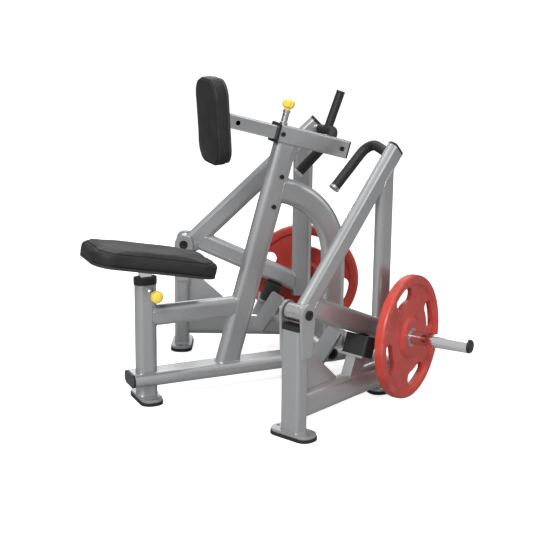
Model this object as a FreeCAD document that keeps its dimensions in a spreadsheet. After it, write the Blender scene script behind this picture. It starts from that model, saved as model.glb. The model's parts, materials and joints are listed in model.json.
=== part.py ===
import FreeCAD, Part
import math
import os
import Sketcher
from FreeCAD import Placement, Rotation, Vector

# Plate-loaded seated row machine with a chest support.
# Frame: +X runs from the seat end to the rear, +Y is the user's left, +Z is up, millimetres.
# The two side frames stand in vertical planes that are toed in towards the rear, and the two
# levers swing in those same planes, so each side is built in its own (u, v, w) frame:
# u runs back along the side frame, v runs across it, w is up.

doc = FreeCAD.newDocument("RowMachine")
sheet = doc.addObject("Spreadsheet::Sheet", "Dims")

DIMENSIONS = {
    # overall
    "shift_x": -54.25,        # moves the machine so that the origin is centred front to back
    "wall": 3.0,              # wall of the frame tubes
    "toe_in": 25.0,           # angle between a side frame and the X axis, degrees
    "side_y": 535.0,          # distance of each side upright from the centre plane
    "foot_top": 22.0,         # top of the steel foot plates
    "foot_pad_high": 12.0,    # rubber pad below each foot plate
    # base tube
    "base_wide": 110.0,
    "base_high": 50.0,
    "base_mid_z": 85.0,
    "base_front_x": -412.0,
    "base_long": 862.0,
    # front post and seat
    "post_x": -354.0,
    "post_wide": 52.0,
    "post_deep": 80.0,
    "post_top": 440.0,
    "collar_high": 25.0,
    "stem_wide": 44.0,
    "stem_deep": 30.0,
    "stem_low": 230.0,
    "seat_tilt": 11.4,
    "seat_under_z": 505.0,
    "seat_long": 480.0,
    "seat_wide": 256.0,
    "seat_thick": 63.0,
    "seat_round": 70.0,
    "board_thick": 10.0,
    "seat_ahead": 228.5,
    "seat_pin_back": 12.0,
    # strut and main upright
    "strut_mid_z": 318.0,
    "strut_deep": 78.0,
    "tube_thick": 50.0,
    "lean": 15.8,
    "upright_foot_x": -40.5,
    "upright_wide": 52.0,
    "upright_deep": 92.0,
    "upright_long": 863.0,
    # arc tube
    "arc_deep": 96.0,
    "arc_radius": 276.0,
    "arc_mid_x": 124.0,
    "arc_mid_z": 473.0,
    # rail and chest pad
    "rail_wide": 62.0,
    "rail_high": 66.0,
    "rail_long": 290.0,
    "rail_wall": 4.0,
    "slide_size": 50.0,
    "slide_long": 350.0,
    "slide_out": 229.0,
    "sleeve_long": 150.0,
    "sleeve_lip": 10.0,
    "run_gap": 0.05,
    "chest_wide": 190.0,
    "chest_high": 311.0,
    "chest_thick": 61.0,
    "chest_round": 65.0,
    "chest_lean": 3.6,
    "chest_mid_x": -102.3,
    "chest_mid_z": 1014.6,
    # side frames
    "side_wide": 80.0,
    "side_deep": 56.0,
    "side_round": 12.0,
    "side_top": 385.0,
    "side_mid_u": -10.8,
    "side_cap_high": 19.0,
    "beam_high": 100.0,
    "beam_mid_z": 105.0,
    "beam_end_u": 570.0,
    "ear_thick": 10.0,
    "ear_inner": 40.0,
    "ear_round": 37.0,
    "gusset_thick": 12.0,
    "cross_x": 475.0,
    "cross_high": 92.0,
    # levers
    "pivot_z": 440.0,
    "shaft_dia": 25.0,
    "boss_dia": 60.0,
    "boss_bore": 40.0,
    "boss_half": 35.0,
    "lever_deep": 78.0,
    "lever_thick": 40.0,
    "arm_angle": 44.5,
    "arm_u": 224.0,
    "arm_w": 628.0,
    "arm_up": 425.0,
    "low_angle": 23.3,
    "low_u": 300.0,
    "low_w": 346.0,
    "tail_u": 473.0,
    "tail_low_w": 226.0,
    # horns and weight plates
    "horn_dia": 50.0,
    "horn_long": 336.0,
    "horn_w": 264.0,
    "horn_yaw": 8.5,          # the horn points this much further back than the hinge axis
    "horn_tilt": 1.5,
    "horn_sunk": 8.0,
    "horn_relief": 1.0,       # the stretch under the plate is this much thinner
    "spacer_long": 76.0,
    "spacer_dia": 78.0,
    "plate_dia": 450.0,
    "plate_thick": 38.0,
    "web_thick": 18.0,
    # handles
    "bar_dia": 28.0,
    "grip_dia": 38.0,
    "handle_u": 512.0,
    "handle_w": 908.0,
    # foot rests
    "rest_x": 240.0,
    "rest_y": 250.0,
    "rest_z": 198.0,
    "rest_wide": 105.0,
    "rest_long": 165.0,
    "rest_thick": 8.0,
    "rest_angle": 55.0,
    "crossbar_dia": 48.0,
    "crossbar_long": 560.0,
    # bumpers
    "bumper_long": 62.0,
    "bumper_wide": 100.0,
    "bumper_high": 74.0,
    "bumper_u": 382.0,
    # feet
    "foot_long": 178.0,
    "foot_wide": 86.0,
    "foot_round": 37.0,
    # pull pins
    "pin_dia": 10.0,
    "barrel_dia": 24.0,
    "seat_barrel_long": 42.0,
    "rail_barrel_long": 54.0,
    "knob_dia": 46.0,
    # bolt heads
    "bolt_dia": 17.0,
    "bolt_high": 5.0,
    "pivot_head_dia": 34.0,
    "socket_deep": 3.5,
}

for row, (alias, value) in enumerate(DIMENSIONS.items(), start=1):
    sheet.set("A%d" % row, alias)
    sheet.set("B%d" % row, str(value))
    sheet.setAlias("B%d" % row, alias)
doc.recompute()


def dim(alias):
    """The number held in a cell of the sheet."""
    return float(sheet.get(alias))


X = Vector(1, 0, 0)
Y = Vector(0, 1, 0)
Z = Vector(0, 0, 1)
PARTS = {}
SHIFT = Vector(dim("shift_x"), 0, 0)
LEAN = math.radians(dim("lean"))
RAIL_DIR = Vector(math.cos(LEAN), 0, -math.sin(LEAN))
RAIL_UP = Vector(math.sin(LEAN), 0, math.cos(LEAN))


# ---------------------------------------------------------------- placing

def axes(origin, along, across):
    """A placement whose local z is `along` and whose local x is `across`."""
    zdir = Vector(along).normalize()
    xdir = Vector(across) - zdir * zdir.dot(Vector(across))
    xdir.normalize()
    ydir = zdir.cross(xdir)
    return Placement(Vector(origin), Rotation(xdir, ydir, zdir, "ZXY"))


WORLD = Placement(SHIFT, Rotation())


def side_frame(sign):
    """The frame of one side: sign +1 is the user's left, -1 the right."""
    turn = Rotation(Z, -sign * dim("toe_in"))
    return WORLD.multiply(Placement(Vector(0, sign * dim("side_y"), 0), turn))


def label(obj, name):
    """Name an object as a finished sub-part."""
    obj.Label = name
    PARTS[name] = obj
    return obj


# ---------------------------------------------------------------- sketches

def origin_plane(body, role):
    """The plane of the body's own origin that has this role."""
    for feature in body.Origin.OriginFeatures:
        if feature.Role == role:
            return feature
    raise ValueError(role)


def new_sketch(body, name, role="XY_Plane"):
    sketch = body.newObject("Sketcher::SketchObject", name)
    sketch.AttachmentSupport = (origin_plane(body, role), [""])
    sketch.MapMode = "FlatFace"
    return sketch


def draw_slot(sketch, deep, thick, deep_formula, thick_formula):
    """A flat-oval outline centred on the sketch origin, long along its x."""
    radius = thick / 2.0
    reach = (deep - thick) / 2.0
    left = Part.ArcOfCircle(Part.Circle(Vector(-reach, 0, 0), Z, radius), math.pi / 2, 1.5 * math.pi)
    low = Part.LineSegment(Vector(-reach, -radius, 0), Vector(reach, -radius, 0))
    right = Part.ArcOfCircle(Part.Circle(Vector(reach, 0, 0), Z, radius), -math.pi / 2, math.pi / 2)
    high = Part.LineSegment(Vector(reach, radius, 0), Vector(-reach, radius, 0))
    sketch.addGeometry([left, low, right, high], False)
    sketch.addConstraint(Sketcher.Constraint("Tangent", 0, 2, 1, 1))
    sketch.addConstraint(Sketcher.Constraint("Tangent", 1, 2, 2, 1))
    sketch.addConstraint(Sketcher.Constraint("Tangent", 2, 2, 3, 1))
    sketch.addConstraint(Sketcher.Constraint("Tangent", 3, 2, 0, 1))
    sketch.addConstraint(Sketcher.Constraint("Horizontal", 1))
    sketch.addConstraint(Sketcher.Constraint("Symmetric", 0, 3, 2, 3, -1, 1))
    radius_at = sketch.addConstraint(Sketcher.Constraint("Radius", 0, radius))
    sketch.renameConstraint(radius_at, "end_radius")
    reach_at = sketch.addConstraint(Sketcher.Constraint("DistanceX", 0, 3, 2, 3, 2 * reach))
    sketch.renameConstraint(reach_at, "between_centres")
    sketch.setExpression("Constraints.end_radius", "(%s) / 2" % thick_formula)
    sketch.setExpression("Constraints.between_centres", "(%s) - (%s)" % (deep_formula, thick_formula))


def slot_body(name, deep, thick, length, place, inset=0.0):
    """A solid flat-oval bar: deep and thick are cell names, inset shrinks it all round."""
    body = doc.addObject("PartDesign::Body", name)
    sketch = new_sketch(body, name + "_outline")
    deep_formula = "Dims.%s - %s" % (deep, 2 * inset)
    thick_formula = "Dims.%s - %s" % (thick, 2 * inset)
    draw_slot(sketch, dim(deep) - 2 * inset, dim(thick) - 2 * inset, deep_formula, thick_formula)
    pad = body.newObject("PartDesign::Pad", name + "_pad")
    pad.Profile = sketch
    if isinstance(length, str):
        pad.Length = dim(length)
        pad.setExpression("Length", "Dims.%s" % length)
    else:
        pad.Length = length
    body.Placement = place
    return body


def profile_body(name, points, length, place, midplane=False):
    """A prism over a closed polygon in the local xy plane; length is a cell name."""
    body = doc.addObject("PartDesign::Body", name)
    sketch = new_sketch(body, name + "_outline")
    corners = [Vector(px, py, 0) for px, py in points]
    for here, there in zip(corners, corners[1:] + corners[:1]):
        sketch.addGeometry(Part.LineSegment(here, there), False)
    for index in range(len(corners)):
        sketch.addConstraint(Sketcher.Constraint("Coincident", index, 2, (index + 1) % len(corners), 1))
    pad = body.newObject("PartDesign::Pad", name + "_pad")
    pad.Profile = sketch
    pad.Midplane = midplane
    pad.Length = dim(length)
    pad.setExpression("Length", "Dims.%s" % length)
    body.Placement = place
    return body


def turned_body(name, points, place):
    """A turned piece: the (radius, height) outline revolved about the local z."""
    body = doc.addObject("PartDesign::Body", name)
    sketch = new_sketch(body, name + "_outline", "XZ_Plane")
    corners = [Vector(radius, height, 0) for radius, height in points]
    for here, there in zip(corners, corners[1:] + corners[:1]):
        sketch.addGeometry(Part.LineSegment(here, there), False)
    for index in range(len(corners)):
        sketch.addConstraint(Sketcher.Constraint("Coincident", index, 2, (index + 1) % len(corners), 1))
    turn = body.newObject("PartDesign::Revolution", name + "_turn")
    turn.Profile = sketch
    turn.ReferenceAxis = (sketch, ["V_Axis"])
    turn.Angle = 360.0
    body.Placement = place
    return body


# ---------------------------------------------------------------- primitives

def block(name, wide, deep, high, place, rounding=0.0, edges="z"):
    """A box centred on local x and y that stands on local z = 0; sizes are numbers or cell names."""
    box = doc.addObject("Part::Box", name + "_box")
    for prop, size in (("Length", wide), ("Width", deep), ("Height", high)):
        if isinstance(size, str):
            setattr(box, prop, dim(size))
            box.setExpression(prop, "Dims.%s" % size)
        else:
            setattr(box, prop, size)
    box.Placement = place.multiply(Placement(Vector(-box.Length.Value / 2, -box.Width.Value / 2, 0), Rotation()))
    if not rounding:
        return box
    doc.recompute()
    fillet = doc.addObject("Part::Fillet", name)
    fillet.Base = box
    chosen = []
    local_z = place.Rotation.multVec(Z)
    for number, edge in enumerate(box.Shape.Edges, start=1):
        direction = (edge.Vertexes[1].Point - edge.Vertexes[0].Point).normalize()
        if edges == "all" or abs(abs(direction.dot(local_z)) - 1) < 1e-6:
            chosen.append((number, rounding, rounding))
    fillet.Edges = chosen
    return fillet


def rod(name, dia, high, place):
    """A cylinder along local z from 0; sizes are numbers or cell names."""
    cylinder = doc.addObject("Part::Cylinder", name)
    if isinstance(dia, str):
        cylinder.Radius = dim(dia) / 2
        cylinder.setExpression("Radius", "Dims.%s / 2" % dia)
    else:
        cylinder.Radius = dia / 2.0
    if isinstance(high, str):
        cylinder.Height = dim(high)
        cylinder.setExpression("Height", "Dims.%s" % high)
    else:
        cylinder.Height = high
    cylinder.Placement = place
    return cylinder


def cut(name, base, *tools):
    """The base with every tool taken out of it."""
    result = base
    for number, tool in enumerate(tools):
        step = doc.addObject("Part::Cut", "%s_cut%d" % (name, number))
        step.Base = result
        step.Tool = tool
        result = step
    return result


def fuse(name, *pieces):
    """One solid from pieces that overlap or meet."""
    joined = doc.addObject("Part::MultiFuse", name)
    joined.Shapes = list(pieces)
    joined.Refine = True
    return joined


def group(name, *pieces):
    """Separate solids that share one node."""
    together = doc.addObject("Part::Compound", name)
    together.Links = list(pieces)
    return together


def shifted(place, dx=0.0, dy=0.0, dz=0.0):
    return place.multiply(Placement(Vector(dx, dy, dz), Rotation()))


def hollow(name, deep, thick, length, place, wall_start=-1.0, wall_end=-1.0):
    """The envelope of a flat-oval tube and its core; a positive wall closes that end."""
    envelope = slot_body(name + "_envelope", deep, thick, length, place)
    size = dim(length) if isinstance(length, str) else length
    core_long = size - wall_start - wall_end
    core = slot_body(name + "_core", deep, thick, core_long, shifted(place, 0, 0, wall_start), dim("wall"))
    return envelope, core


def box_tube(name, wide, deep, high, place, rounding):
    """The envelope of a rounded box tube and its core, both open at the ends."""
    envelope = block(name + "_envelope", wide, deep, high, place, rounding)
    wall = dim("wall")
    core = block(name + "_core", dim(wide) - 2 * wall, dim(deep) - 2 * wall, high + 2.0,
                 shifted(place, 0, 0, -1.0), rounding - wall)
    return envelope, core


def bolt_head(name, dia, high, place):
    """A button head with a hexagon socket, standing on local z = 0."""
    head = rod(name + "_head", dia, high, place)
    across = dim(dia) * 0.26
    corners = [(across * math.cos(math.radians(60 * n)), across * math.sin(math.radians(60 * n))) for n in range(6)]
    socket_at = shifted(place, 0, 0, dim(high) - dim("socket_deep") + 0.5)
    socket = profile_body(name + "_socket", corners, "socket_deep", socket_at)
    return cut(name + "_cut", head, socket)


def bent_path(points, bend):
    """A wire through the points with a tangent arc of radius `bend` at each inner point."""
    edges = []
    start = points[0]
    for before, corner, after in zip(points, points[1:], points[2:]):
        inward = (before - corner).normalize()
        onward = (after - corner).normalize()
        half = math.acos(max(-1.0, min(1.0, inward.dot(onward)))) / 2
        reach = bend / math.tan(half)
        first = corner + inward * reach
        last = corner + onward * reach
        centre = corner + (inward + onward).normalize() * (bend / math.sin(half))
        middle = centre + (corner - centre).normalize() * bend
        edges.append(Part.LineSegment(start, first).toShape())
        edges.append(Part.Arc(first, middle, last).toShape())
        start = last
    edges.append(Part.LineSegment(start, points[-1]).toShape())
    return Part.Wire(edges)


def pipe_shape(points, bend, dia):
    """A round bar along a bent path."""
    path = bent_path(points, bend)
    circle = Part.Wire(Part.makeCircle(dia / 2.0, points[0], points[1] - points[0]))
    return path.makePipeShell([circle], True, True)


def feature(name, shape):
    made = doc.addObject("Part::Feature", name)
    made.Shape = shape
    made.Placement = Placement()
    return made


# ---------------------------------------------------------------- centre frame

def centre_frame():
    """Base tube, front post, strut, main upright, arc tube and the rear cross beam."""
    thick = "tube_thick"
    base_at = axes(SHIFT + Vector(dim("base_front_x"), 0, dim("base_mid_z")), X, Y)
    base, base_core = hollow("base", "base_wide", "base_high", "base_long", base_at)

    post_foot = SHIFT + Vector(dim("post_x"), 0, dim("foot_top"))
    post_long = dim("post_top") - dim("foot_top")
    post, post_core = hollow("post", "post_deep", "post_wide", post_long, axes(post_foot, Z, X))
    pin_z = dim("post_top") - 28.0
    pin_x = dim("post_x") + dim("seat_pin_back")
    pin_at = axes(SHIFT + Vector(pin_x, -dim("stem_deep") / 2, pin_z), -Y, X)
    pin_hole = rod("post_pin_hole", dim("pin_dia") + 0.6, 40.0, pin_at)
    label(cut("front_post", post, post_core, pin_hole), "front_post")
    label(cut("base_tube", base, base_core, post), "base_tube")

    upright_at = axes(SHIFT + Vector(dim("upright_foot_x"), 0, dim("base_mid_z")), RAIL_UP, X)
    upright, upright_core = hollow("upright", "upright_deep", "upright_wide", "upright_long", upright_at)
    label(cut("main_upright", upright, upright_core, base), "main_upright")

    strut_at = axes(SHIFT + Vector(dim("post_x"), 0, dim("strut_mid_z")), X, Z)
    strut_long = dim("upright_foot_x") - dim("post_x") + 70.0
    strut, strut_core = hollow("strut", "strut_deep", thick, strut_long, strut_at)
    label(cut("strut", strut, strut_core, post, upright), "strut")

    radius = dim("arc_radius")
    middle = SHIFT + Vector(dim("arc_mid_x"), 0, dim("arc_mid_z"))
    bend_start = middle + Vector(math.sin(LEAN), 0, math.cos(LEAN)) * radius
    bend_half = math.radians(45 + dim("lean") / 2)
    bend_mid = middle + Vector(math.sin(bend_half), 0, math.cos(bend_half)) * radius
    bend_end = middle + Vector(radius, 0, 0)
    start = bend_start - RAIL_DIR * 70.0
    foot = Vector(bend_end.x, 0, dim("base_mid_z"))
    path = Part.Wire([
        Part.LineSegment(start, bend_start).toShape(),
        Part.Arc(bend_start, bend_mid, bend_end).toShape(),
        Part.LineSegment(bend_end, foot).toShape(),
    ])

    def swept(inset):
        half_deep = dim("arc_deep") / 2 - inset
        half_thick = dim(thick) / 2 - inset
        flat = half_deep - half_thick
        high_left = start + RAIL_UP * flat - Y * half_thick
        high_right = start + RAIL_UP * flat + Y * half_thick
        high_mid = start + RAIL_UP * half_deep
        low_left = start - RAIL_UP * flat - Y * half_thick
        low_right = start - RAIL_UP * flat + Y * half_thick
        low_mid = start - RAIL_UP * half_deep
        outline = Part.Wire([
            Part.Arc(high_left, high_mid, high_right).toShape(),
            Part.LineSegment(high_right, low_right).toShape(),
            Part.Arc(low_right, low_mid, low_left).toShape(),
            Part.LineSegment(low_left, high_left).toShape(),
        ])
        return path.makePipeShell([outline], True, False)

    arc = feature("arc_envelope", swept(0.0))
    arc_core = feature("arc_core", swept(dim("wall")))
    label(cut("arc_tube", arc, arc_core, upright, base), "arc_tube")


def rail_point(reach, rise=0.0):
    """A point on the rail's axis: reach 0 is above the main upright's axis."""
    foot = Vector(dim("upright_foot_x"), 0, dim("base_mid_z"))
    centre = foot + RAIL_UP * (dim("upright_long") + dim("rail_high") / 2)
    return SHIFT + centre + RAIL_DIR * reach + RAIL_UP * rise


def rail_and_slide():
    """The rail housing, its plastic sleeve, and the sliding chest support."""
    front = -48.0
    high = dim("rail_high")
    at_rail = axes(rail_point(front), RAIL_DIR, Y)
    housing = block("rail_outer", "rail_wide", "rail_high", "rail_long", at_rail, 6.0)
    inner_wide = dim("rail_wide") - 2 * dim("rail_wall")
    inner_high = high - 2 * dim("rail_wall")
    bore = block("rail_inner", inner_wide, inner_high, dim("rail_long") + 2, shifted(at_rail, 0, 0, -1))
    pin_reach = -29.0
    hole_at = axes(rail_point(pin_reach, dim("slide_size") / 2), RAIL_UP, Y)
    pin_hole = rod("rail_pin_hole", dim("pin_dia") + 0.6, 30.0, hole_at)
    label(cut("rail_housing", housing, bore, pin_hole), "rail_housing")

    lip = block("sleeve_lip", dim("rail_wide") + 6, high + 6, "sleeve_lip",
                shifted(at_rail, 0, 0, -dim("sleeve_lip")), 5.0)
    liner = block("sleeve_liner", inner_wide, inner_high, "sleeve_long", at_rail)
    gap = 2 * dim("run_gap")
    way = block("sleeve_way", dim("slide_size") + gap, dim("slide_size") + gap,
                dim("sleeve_long") + 40, shifted(at_rail, 0, 0, -dim("sleeve_lip") - 1), 4.0)
    label(cut("rail_sleeve", fuse("sleeve_body", lip, liner), way, pin_hole), "rail_sleeve")

    slide_at = axes(rail_point(front - dim("slide_out") + 22.0), RAIL_DIR, Y)
    tube = block("slide_outer", "slide_size", "slide_size", "slide_long", slide_at, 4.0)
    tube_bore = block("slide_inner", dim("slide_size") - 6, dim("slide_size") - 6,
                      dim("slide_long") - 4, shifted(slide_at, 0, 0, 5.0))
    holes = []
    for index in range(5):
        reach = pin_reach - 60.0 + 30.0 * index
        where = axes(rail_point(reach, dim("slide_size") / 2 - 5), RAIL_UP, Y)
        holes.append(rod("slide_hole%d" % index, dim("pin_dia") + 1.0, 10.0, where))
    side_hole_at = axes(rail_point(front - 168.0) - Y * 30.0, Y, X)
    holes.append(rod("slide_side_hole", 18.0, 10.0, side_hole_at))
    label(cut("slide_tube", tube, tube_bore, *holes), "slide_tube")

    lean = math.radians(dim("chest_lean"))
    pad_up = Vector(-math.sin(lean), 0, math.cos(lean))
    pad_back = Vector(math.cos(lean), 0, math.sin(lean))
    centre = SHIFT + Vector(dim("chest_mid_x"), 0, dim("chest_mid_z"))
    pad_at = axes(centre - pad_back * (dim("chest_thick") / 2), pad_back, Y)
    pad_blank = block("chest_blank", "chest_wide", "chest_high", "chest_thick", pad_at, dim("chest_round"))
    label(pad_blank, "chest_pad")
    board_thick = dim("board_thick")
    board_at = shifted(pad_at, 0, 0, dim("chest_thick"))
    board = block("chest_board", dim("chest_wide") - 8, dim("chest_high") - 8, board_thick, board_at,
                  dim("chest_round") - 4)
    label(board, "chest_board")
    plate_at = shifted(pad_at, 0, 0, dim("chest_thick") + board_thick)
    flange = block("chest_flange", 64.0, 120.0, 6.0, plate_at, 8.0)
    neck = block("chest_neck", 46.0, 46.0, 60.0, axes(rail_point(front - dim("slide_out") - 28.0), RAIL_DIR, Y))
    keep_off = block("chest_keep_off", 400.0, 400.0, 200.0, shifted(plate_at, 0, 0, 3.0 - 200.0))
    neck_end = cut("chest_neck_end", neck, keep_off, tube)
    label(fuse("chest_bracket", flange, neck_end), "chest_bracket")

    pull_pin("rail", rail_point(pin_reach), RAIL_UP, Y, high / 2, dim("slide_size") / 2)


def pull_pin(name, axis_point, out, across, face, stop_at):
    """A sprung pull pin: barrel on the tube's face, rod through it and a yellow knob."""
    barrel_long = dim(name + "_barrel_long")
    barrel_at = axes(axis_point + out * face, out, across)
    barrel = turned_body(name + "_barrel_blank", [
        (dim("pin_dia") / 2 + dim("run_gap"), -4.0 if name == "seat" else 0.0),
        (dim("barrel_dia") / 2 + 3.0, -4.0 if name == "seat" else 0.0),
        (dim("barrel_dia") / 2 + 3.0, 8.0),
        (dim("barrel_dia") / 2, 10.0),
        (dim("barrel_dia") / 2, barrel_long - 10.0),
        (dim("barrel_dia") / 2 + 2.0, barrel_long - 8.0),
        (dim("barrel_dia") / 2 + 2.0, barrel_long),
        (dim("pin_dia") / 2 + dim("run_gap"), barrel_long),
    ], barrel_at)
    if name == "seat":
        barrel = cut("seat_barrel", barrel, doc.getObject("post_envelope"))
    PARTS["_%s_barrel" % name] = barrel
    tip = axis_point + out * (stop_at + 0.5)
    reach = face - stop_at - 0.5 + barrel_long + 6.0
    label(rod(name + "_pin_rod", "pin_dia", reach, axes(tip, out, across)), name + "_pin_rod")
    knob_at = shifted(barrel_at, 0, 0, barrel_long + 0.8)
    radius = dim("knob_dia") / 2
    knob = turned_body(name + "_knob_blank", [
        (dim("pin_dia") / 2, 0.0),
        (radius * 0.45, 0.0),
        (radius * 0.55, 7.0),
        (radius * 0.92, 12.0),
        (radius, 18.0),
        (radius, 26.0),
        (radius * 0.88, 33.0),
        (radius * 0.5, 38.0),
        (0.0, 39.0),
        (0.0, 5.2),
        (dim("pin_dia") / 2, 5.2),
    ], knob_at)
    flutes = []
    for index in range(6):
        turn = Placement(Vector(), Rotation(Z, 60.0 * index))
        where = knob_at.multiply(turn).multiply(Placement(Vector(radius + 5.5, 0, 8.0), Rotation()))
        flutes.append(rod("%s_flute%d" % (name, index), 16.0, 40.0, where))
    label(cut(name + "_pin_knob", knob, *flutes), name + "_pin_knob")


def seat():
    """The seat's collar, chrome stem, board and pad."""
    top = dim("post_top")
    centre = SHIFT + Vector(dim("post_x"), 0, 0)
    collar_place = axes(centre + Z * top, Z, X)
    collar = slot_body("collar_blank", "post_deep", "post_wide", "collar_high", collar_place, -3.0)
    gap = 2 * dim("run_gap")
    way_at = axes(centre + Z * (top - 30.0), Z, X)
    way = block("collar_way", dim("stem_wide") + gap, dim("stem_deep") + gap, 80.0, way_at, 4.0)
    label(cut("seat_collar", collar, way), "seat_collar")

    tilt = math.radians(dim("seat_tilt"))
    seat_up = Vector(math.sin(tilt), 0, math.cos(tilt))
    seat_back = Vector(math.cos(tilt), 0, -math.sin(tilt))
    under = centre + Z * dim("seat_under_z")
    plate_at = axes(under - seat_up * 6.0 - seat_back * 20.0, seat_up, Y)
    plate = block("seat_plate", 150.0, 210.0, 6.0, plate_at, 12.0)
    stem_at = axes(centre + Z * dim("stem_low"), Z, X)
    stem_long = dim("seat_under_z") - dim("stem_low")
    stem = block("stem_outer", "stem_wide", "stem_deep", stem_long + 20.0, stem_at, 4.0)
    above = block("stem_above", 300.0, 400.0, 100.0, axes(under - seat_up * 6.0, seat_up, Y))
    bore = block("stem_inner", dim("stem_wide") - 6, dim("stem_deep") - 6, stem_long - 30.0, shifted(stem_at, 0, 0, -1))
    holes = []
    for index in range(5):
        spot = centre + X * dim("seat_pin_back") - Y * (dim("stem_deep") / 2 - 5.0)
        where = axes(spot + Z * (top - 28.0 - 30.0 * index), -Y, X)
        holes.append(rod("stem_hole%d" % index, dim("pin_dia") + 1.0, 10.0, where))
    label(fuse("seat_stem", cut("seat_stem_tube", stem, above, bore, *holes), plate), "seat_stem")

    ahead = dim("seat_ahead")
    mid = under + seat_back * (dim("seat_long") / 2 - ahead)
    board_at = axes(mid, seat_up, Y)
    board = block("seat_board", dim("seat_wide") - 8, dim("seat_long") - 8, dim("board_thick"), board_at,
                  dim("seat_round") - 4)
    label(board, "seat_board")
    pad_at = shifted(board_at, 0, 0, dim("board_thick"))
    pad = block("seat_pad", "seat_wide", "seat_long", "seat_thick", pad_at, dim("seat_round"))
    label(pad, "seat_pad")

    pin_axis = centre + X * dim("seat_pin_back") + Z * (top - 28.0)
    pull_pin("seat", pin_axis, -Y, X, dim("post_wide") / 2, dim("stem_deep") / 2)


# ---------------------------------------------------------------- side frames

def side_static(sign, word):
    """One side's upright, beam, clevis, gusset, bumper and pivot bolt."""
    frame = side_frame(sign)

    def local(u, v, w, along, across):
        spot = frame.multVec(Vector(u, sign * v, w))
        turn = frame.Rotation
        return axes(spot, turn.multVec(along), turn.multVec(across))

    mid_u = dim("side_mid_u")
    high = dim("side_top") - dim("foot_top")
    place = local(mid_u, 0, dim("foot_top"), Z, Y)
    upright, upright_core = box_tube("side_" + word, "side_wide", "side_deep", high, place, dim("side_round"))
    label(cut("side_upright_" + word, upright, upright_core), "side_upright_" + word)

    beam_long = dim("beam_end_u") - mid_u
    beam_at = local(mid_u, 0, dim("beam_mid_z"), X, Z)
    beam, beam_core = hollow("beam_" + word, "beam_high", "tube_thick", beam_long, beam_at)
    label(cut("side_beam_" + word, beam, beam_core, upright), "side_beam_" + word)

    pivot = dim("pivot_z")
    ears = []
    for ear_sign in (-1, 1):
        inner = dim("ear_inner") if ear_sign > 0 else -dim("ear_inner") - dim("ear_thick")
        blank = rod("ear_round_%s%d" % (word, ear_sign), 2 * dim("ear_round"), "ear_thick",
                    local(0, sign * inner, pivot, Y, X))
        tail = profile_body("ear_tail_%s%d" % (word, ear_sign), [
            (-dim("ear_round"), 0.0),
            (-dim("ear_round") + 7.0, -150.0),
            (dim("ear_round") - 17.0, -150.0),
            (dim("ear_round"), 0.0),
        ], "ear_thick", frame.multiply(Placement(Vector(0, inner + dim("ear_thick"), pivot), Rotation(X, 90))))
        hole = rod("ear_hole_%s%d" % (word, ear_sign), dim("shaft_dia") + 0.2, 40.0,
                   local(0, sign * (inner - 10.0), pivot, Y, X))
        ears.append(cut("ear_%s%d" % (word, ear_sign), fuse("ear_blank_%s%d" % (word, ear_sign), blank, tail),
                        hole, upright))
    PARTS["_ears_" + word] = group("ears_" + word, *ears)

    gusset_at = frame.multiply(Placement(Vector(0, 0, 0), Rotation(X, 90)))
    beam_top = dim("beam_mid_z") + dim("beam_high") / 2
    back = mid_u + dim("side_deep") / 2
    gusset = profile_body("gusset_blank_" + word, [
        (back - 12.0, beam_top - 30.0),
        (back + 195.0, beam_top - 30.0),
        (back + 195.0, beam_top + 6.0),
        (back + 8.0, beam_top + 172.0),
        (back - 12.0, beam_top + 172.0),
    ], "gusset_thick", gusset_at, True)
    PARTS["_gusset_" + word] = cut("gusset_" + word, gusset, upright, beam)

    low = math.radians(dim("low_angle"))
    run = Vector(math.cos(low), 0, -math.sin(low))
    down = Vector(-math.sin(low), 0, -math.cos(low))
    mid_w = dim("low_w") - math.tan(low) * (dim("bumper_u") - dim("low_u"))
    crown = Vector(dim("bumper_u"), 0, mid_w) + down * (dim("lever_deep") / 2 + 0.3)
    crown = Vector(crown.x, 0, crown.z)
    bumper = block("bumper_" + word, "bumper_long", "bumper_wide", "bumper_high",
                   local(crown.x, 0, crown.z, down, run), 10.0)
    PARTS["_bumper_" + word] = bumper
    base = crown + down * dim("bumper_high")
    seat_plate = block("bumper_plate_" + word, dim("bumper_long") + 16, dim("bumper_wide") + 4, 8.0,
                       local(base.x, 0, base.z, down, run))
    stool = block("bumper_stool_" + word, dim("bumper_long") + 4, dim("tube_thick") - 8, 90.0,
                  local(base.x, 0, base.z, down, run))
    stool_end = cut("bumper_stool_end_" + word, stool, beam,
                    block("bumper_under_" + word, 900.0, 300.0, 200.0,
                          local(300.0, 0, dim("beam_mid_z"), -Z, X)))
    bracket = cut("bumper_bracket_trim_" + word,
                  fuse("bumper_bracket_" + word, seat_plate, stool_end), PARTS["_gusset_" + word])
    PARTS["_bracket_" + word] = bracket

    half = dim("ear_inner") + dim("ear_thick")
    shaft = rod("shaft_" + word, "shaft_dia", 2 * half, local(0, -half * sign, pivot, Y, X))
    heads = []
    for end in (-1, 1):
        head_at = local(0, end * half, pivot, Y * (end * sign), X)
        heads.append(bolt_head("shaft_%s%d" % (word, end), "pivot_head_dia", "bolt_high", head_at))
    PARTS["_shaft_" + word] = fuse("pivot_bolt_" + word, shaft, *heads)

    cap_top = local(mid_u, 0, dim("side_top"), Z, Y)
    lid = block("side_lid_" + word, "side_wide", "side_deep", 3.0, cap_top, dim("side_round"))
    front_u = mid_u - dim("side_deep") / 2
    nose_deep = -front_u - 2.0
    nose_at = local(front_u + nose_deep / 2, 0, dim("side_top"), Z, Y)
    nose = block("side_nose_" + word, dim("side_wide") - 6.0, nose_deep, "side_cap_high", nose_at, 5.0)
    PARTS["_side_cap_" + word] = fuse("side_cap_" + word, lid, nose)

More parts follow.
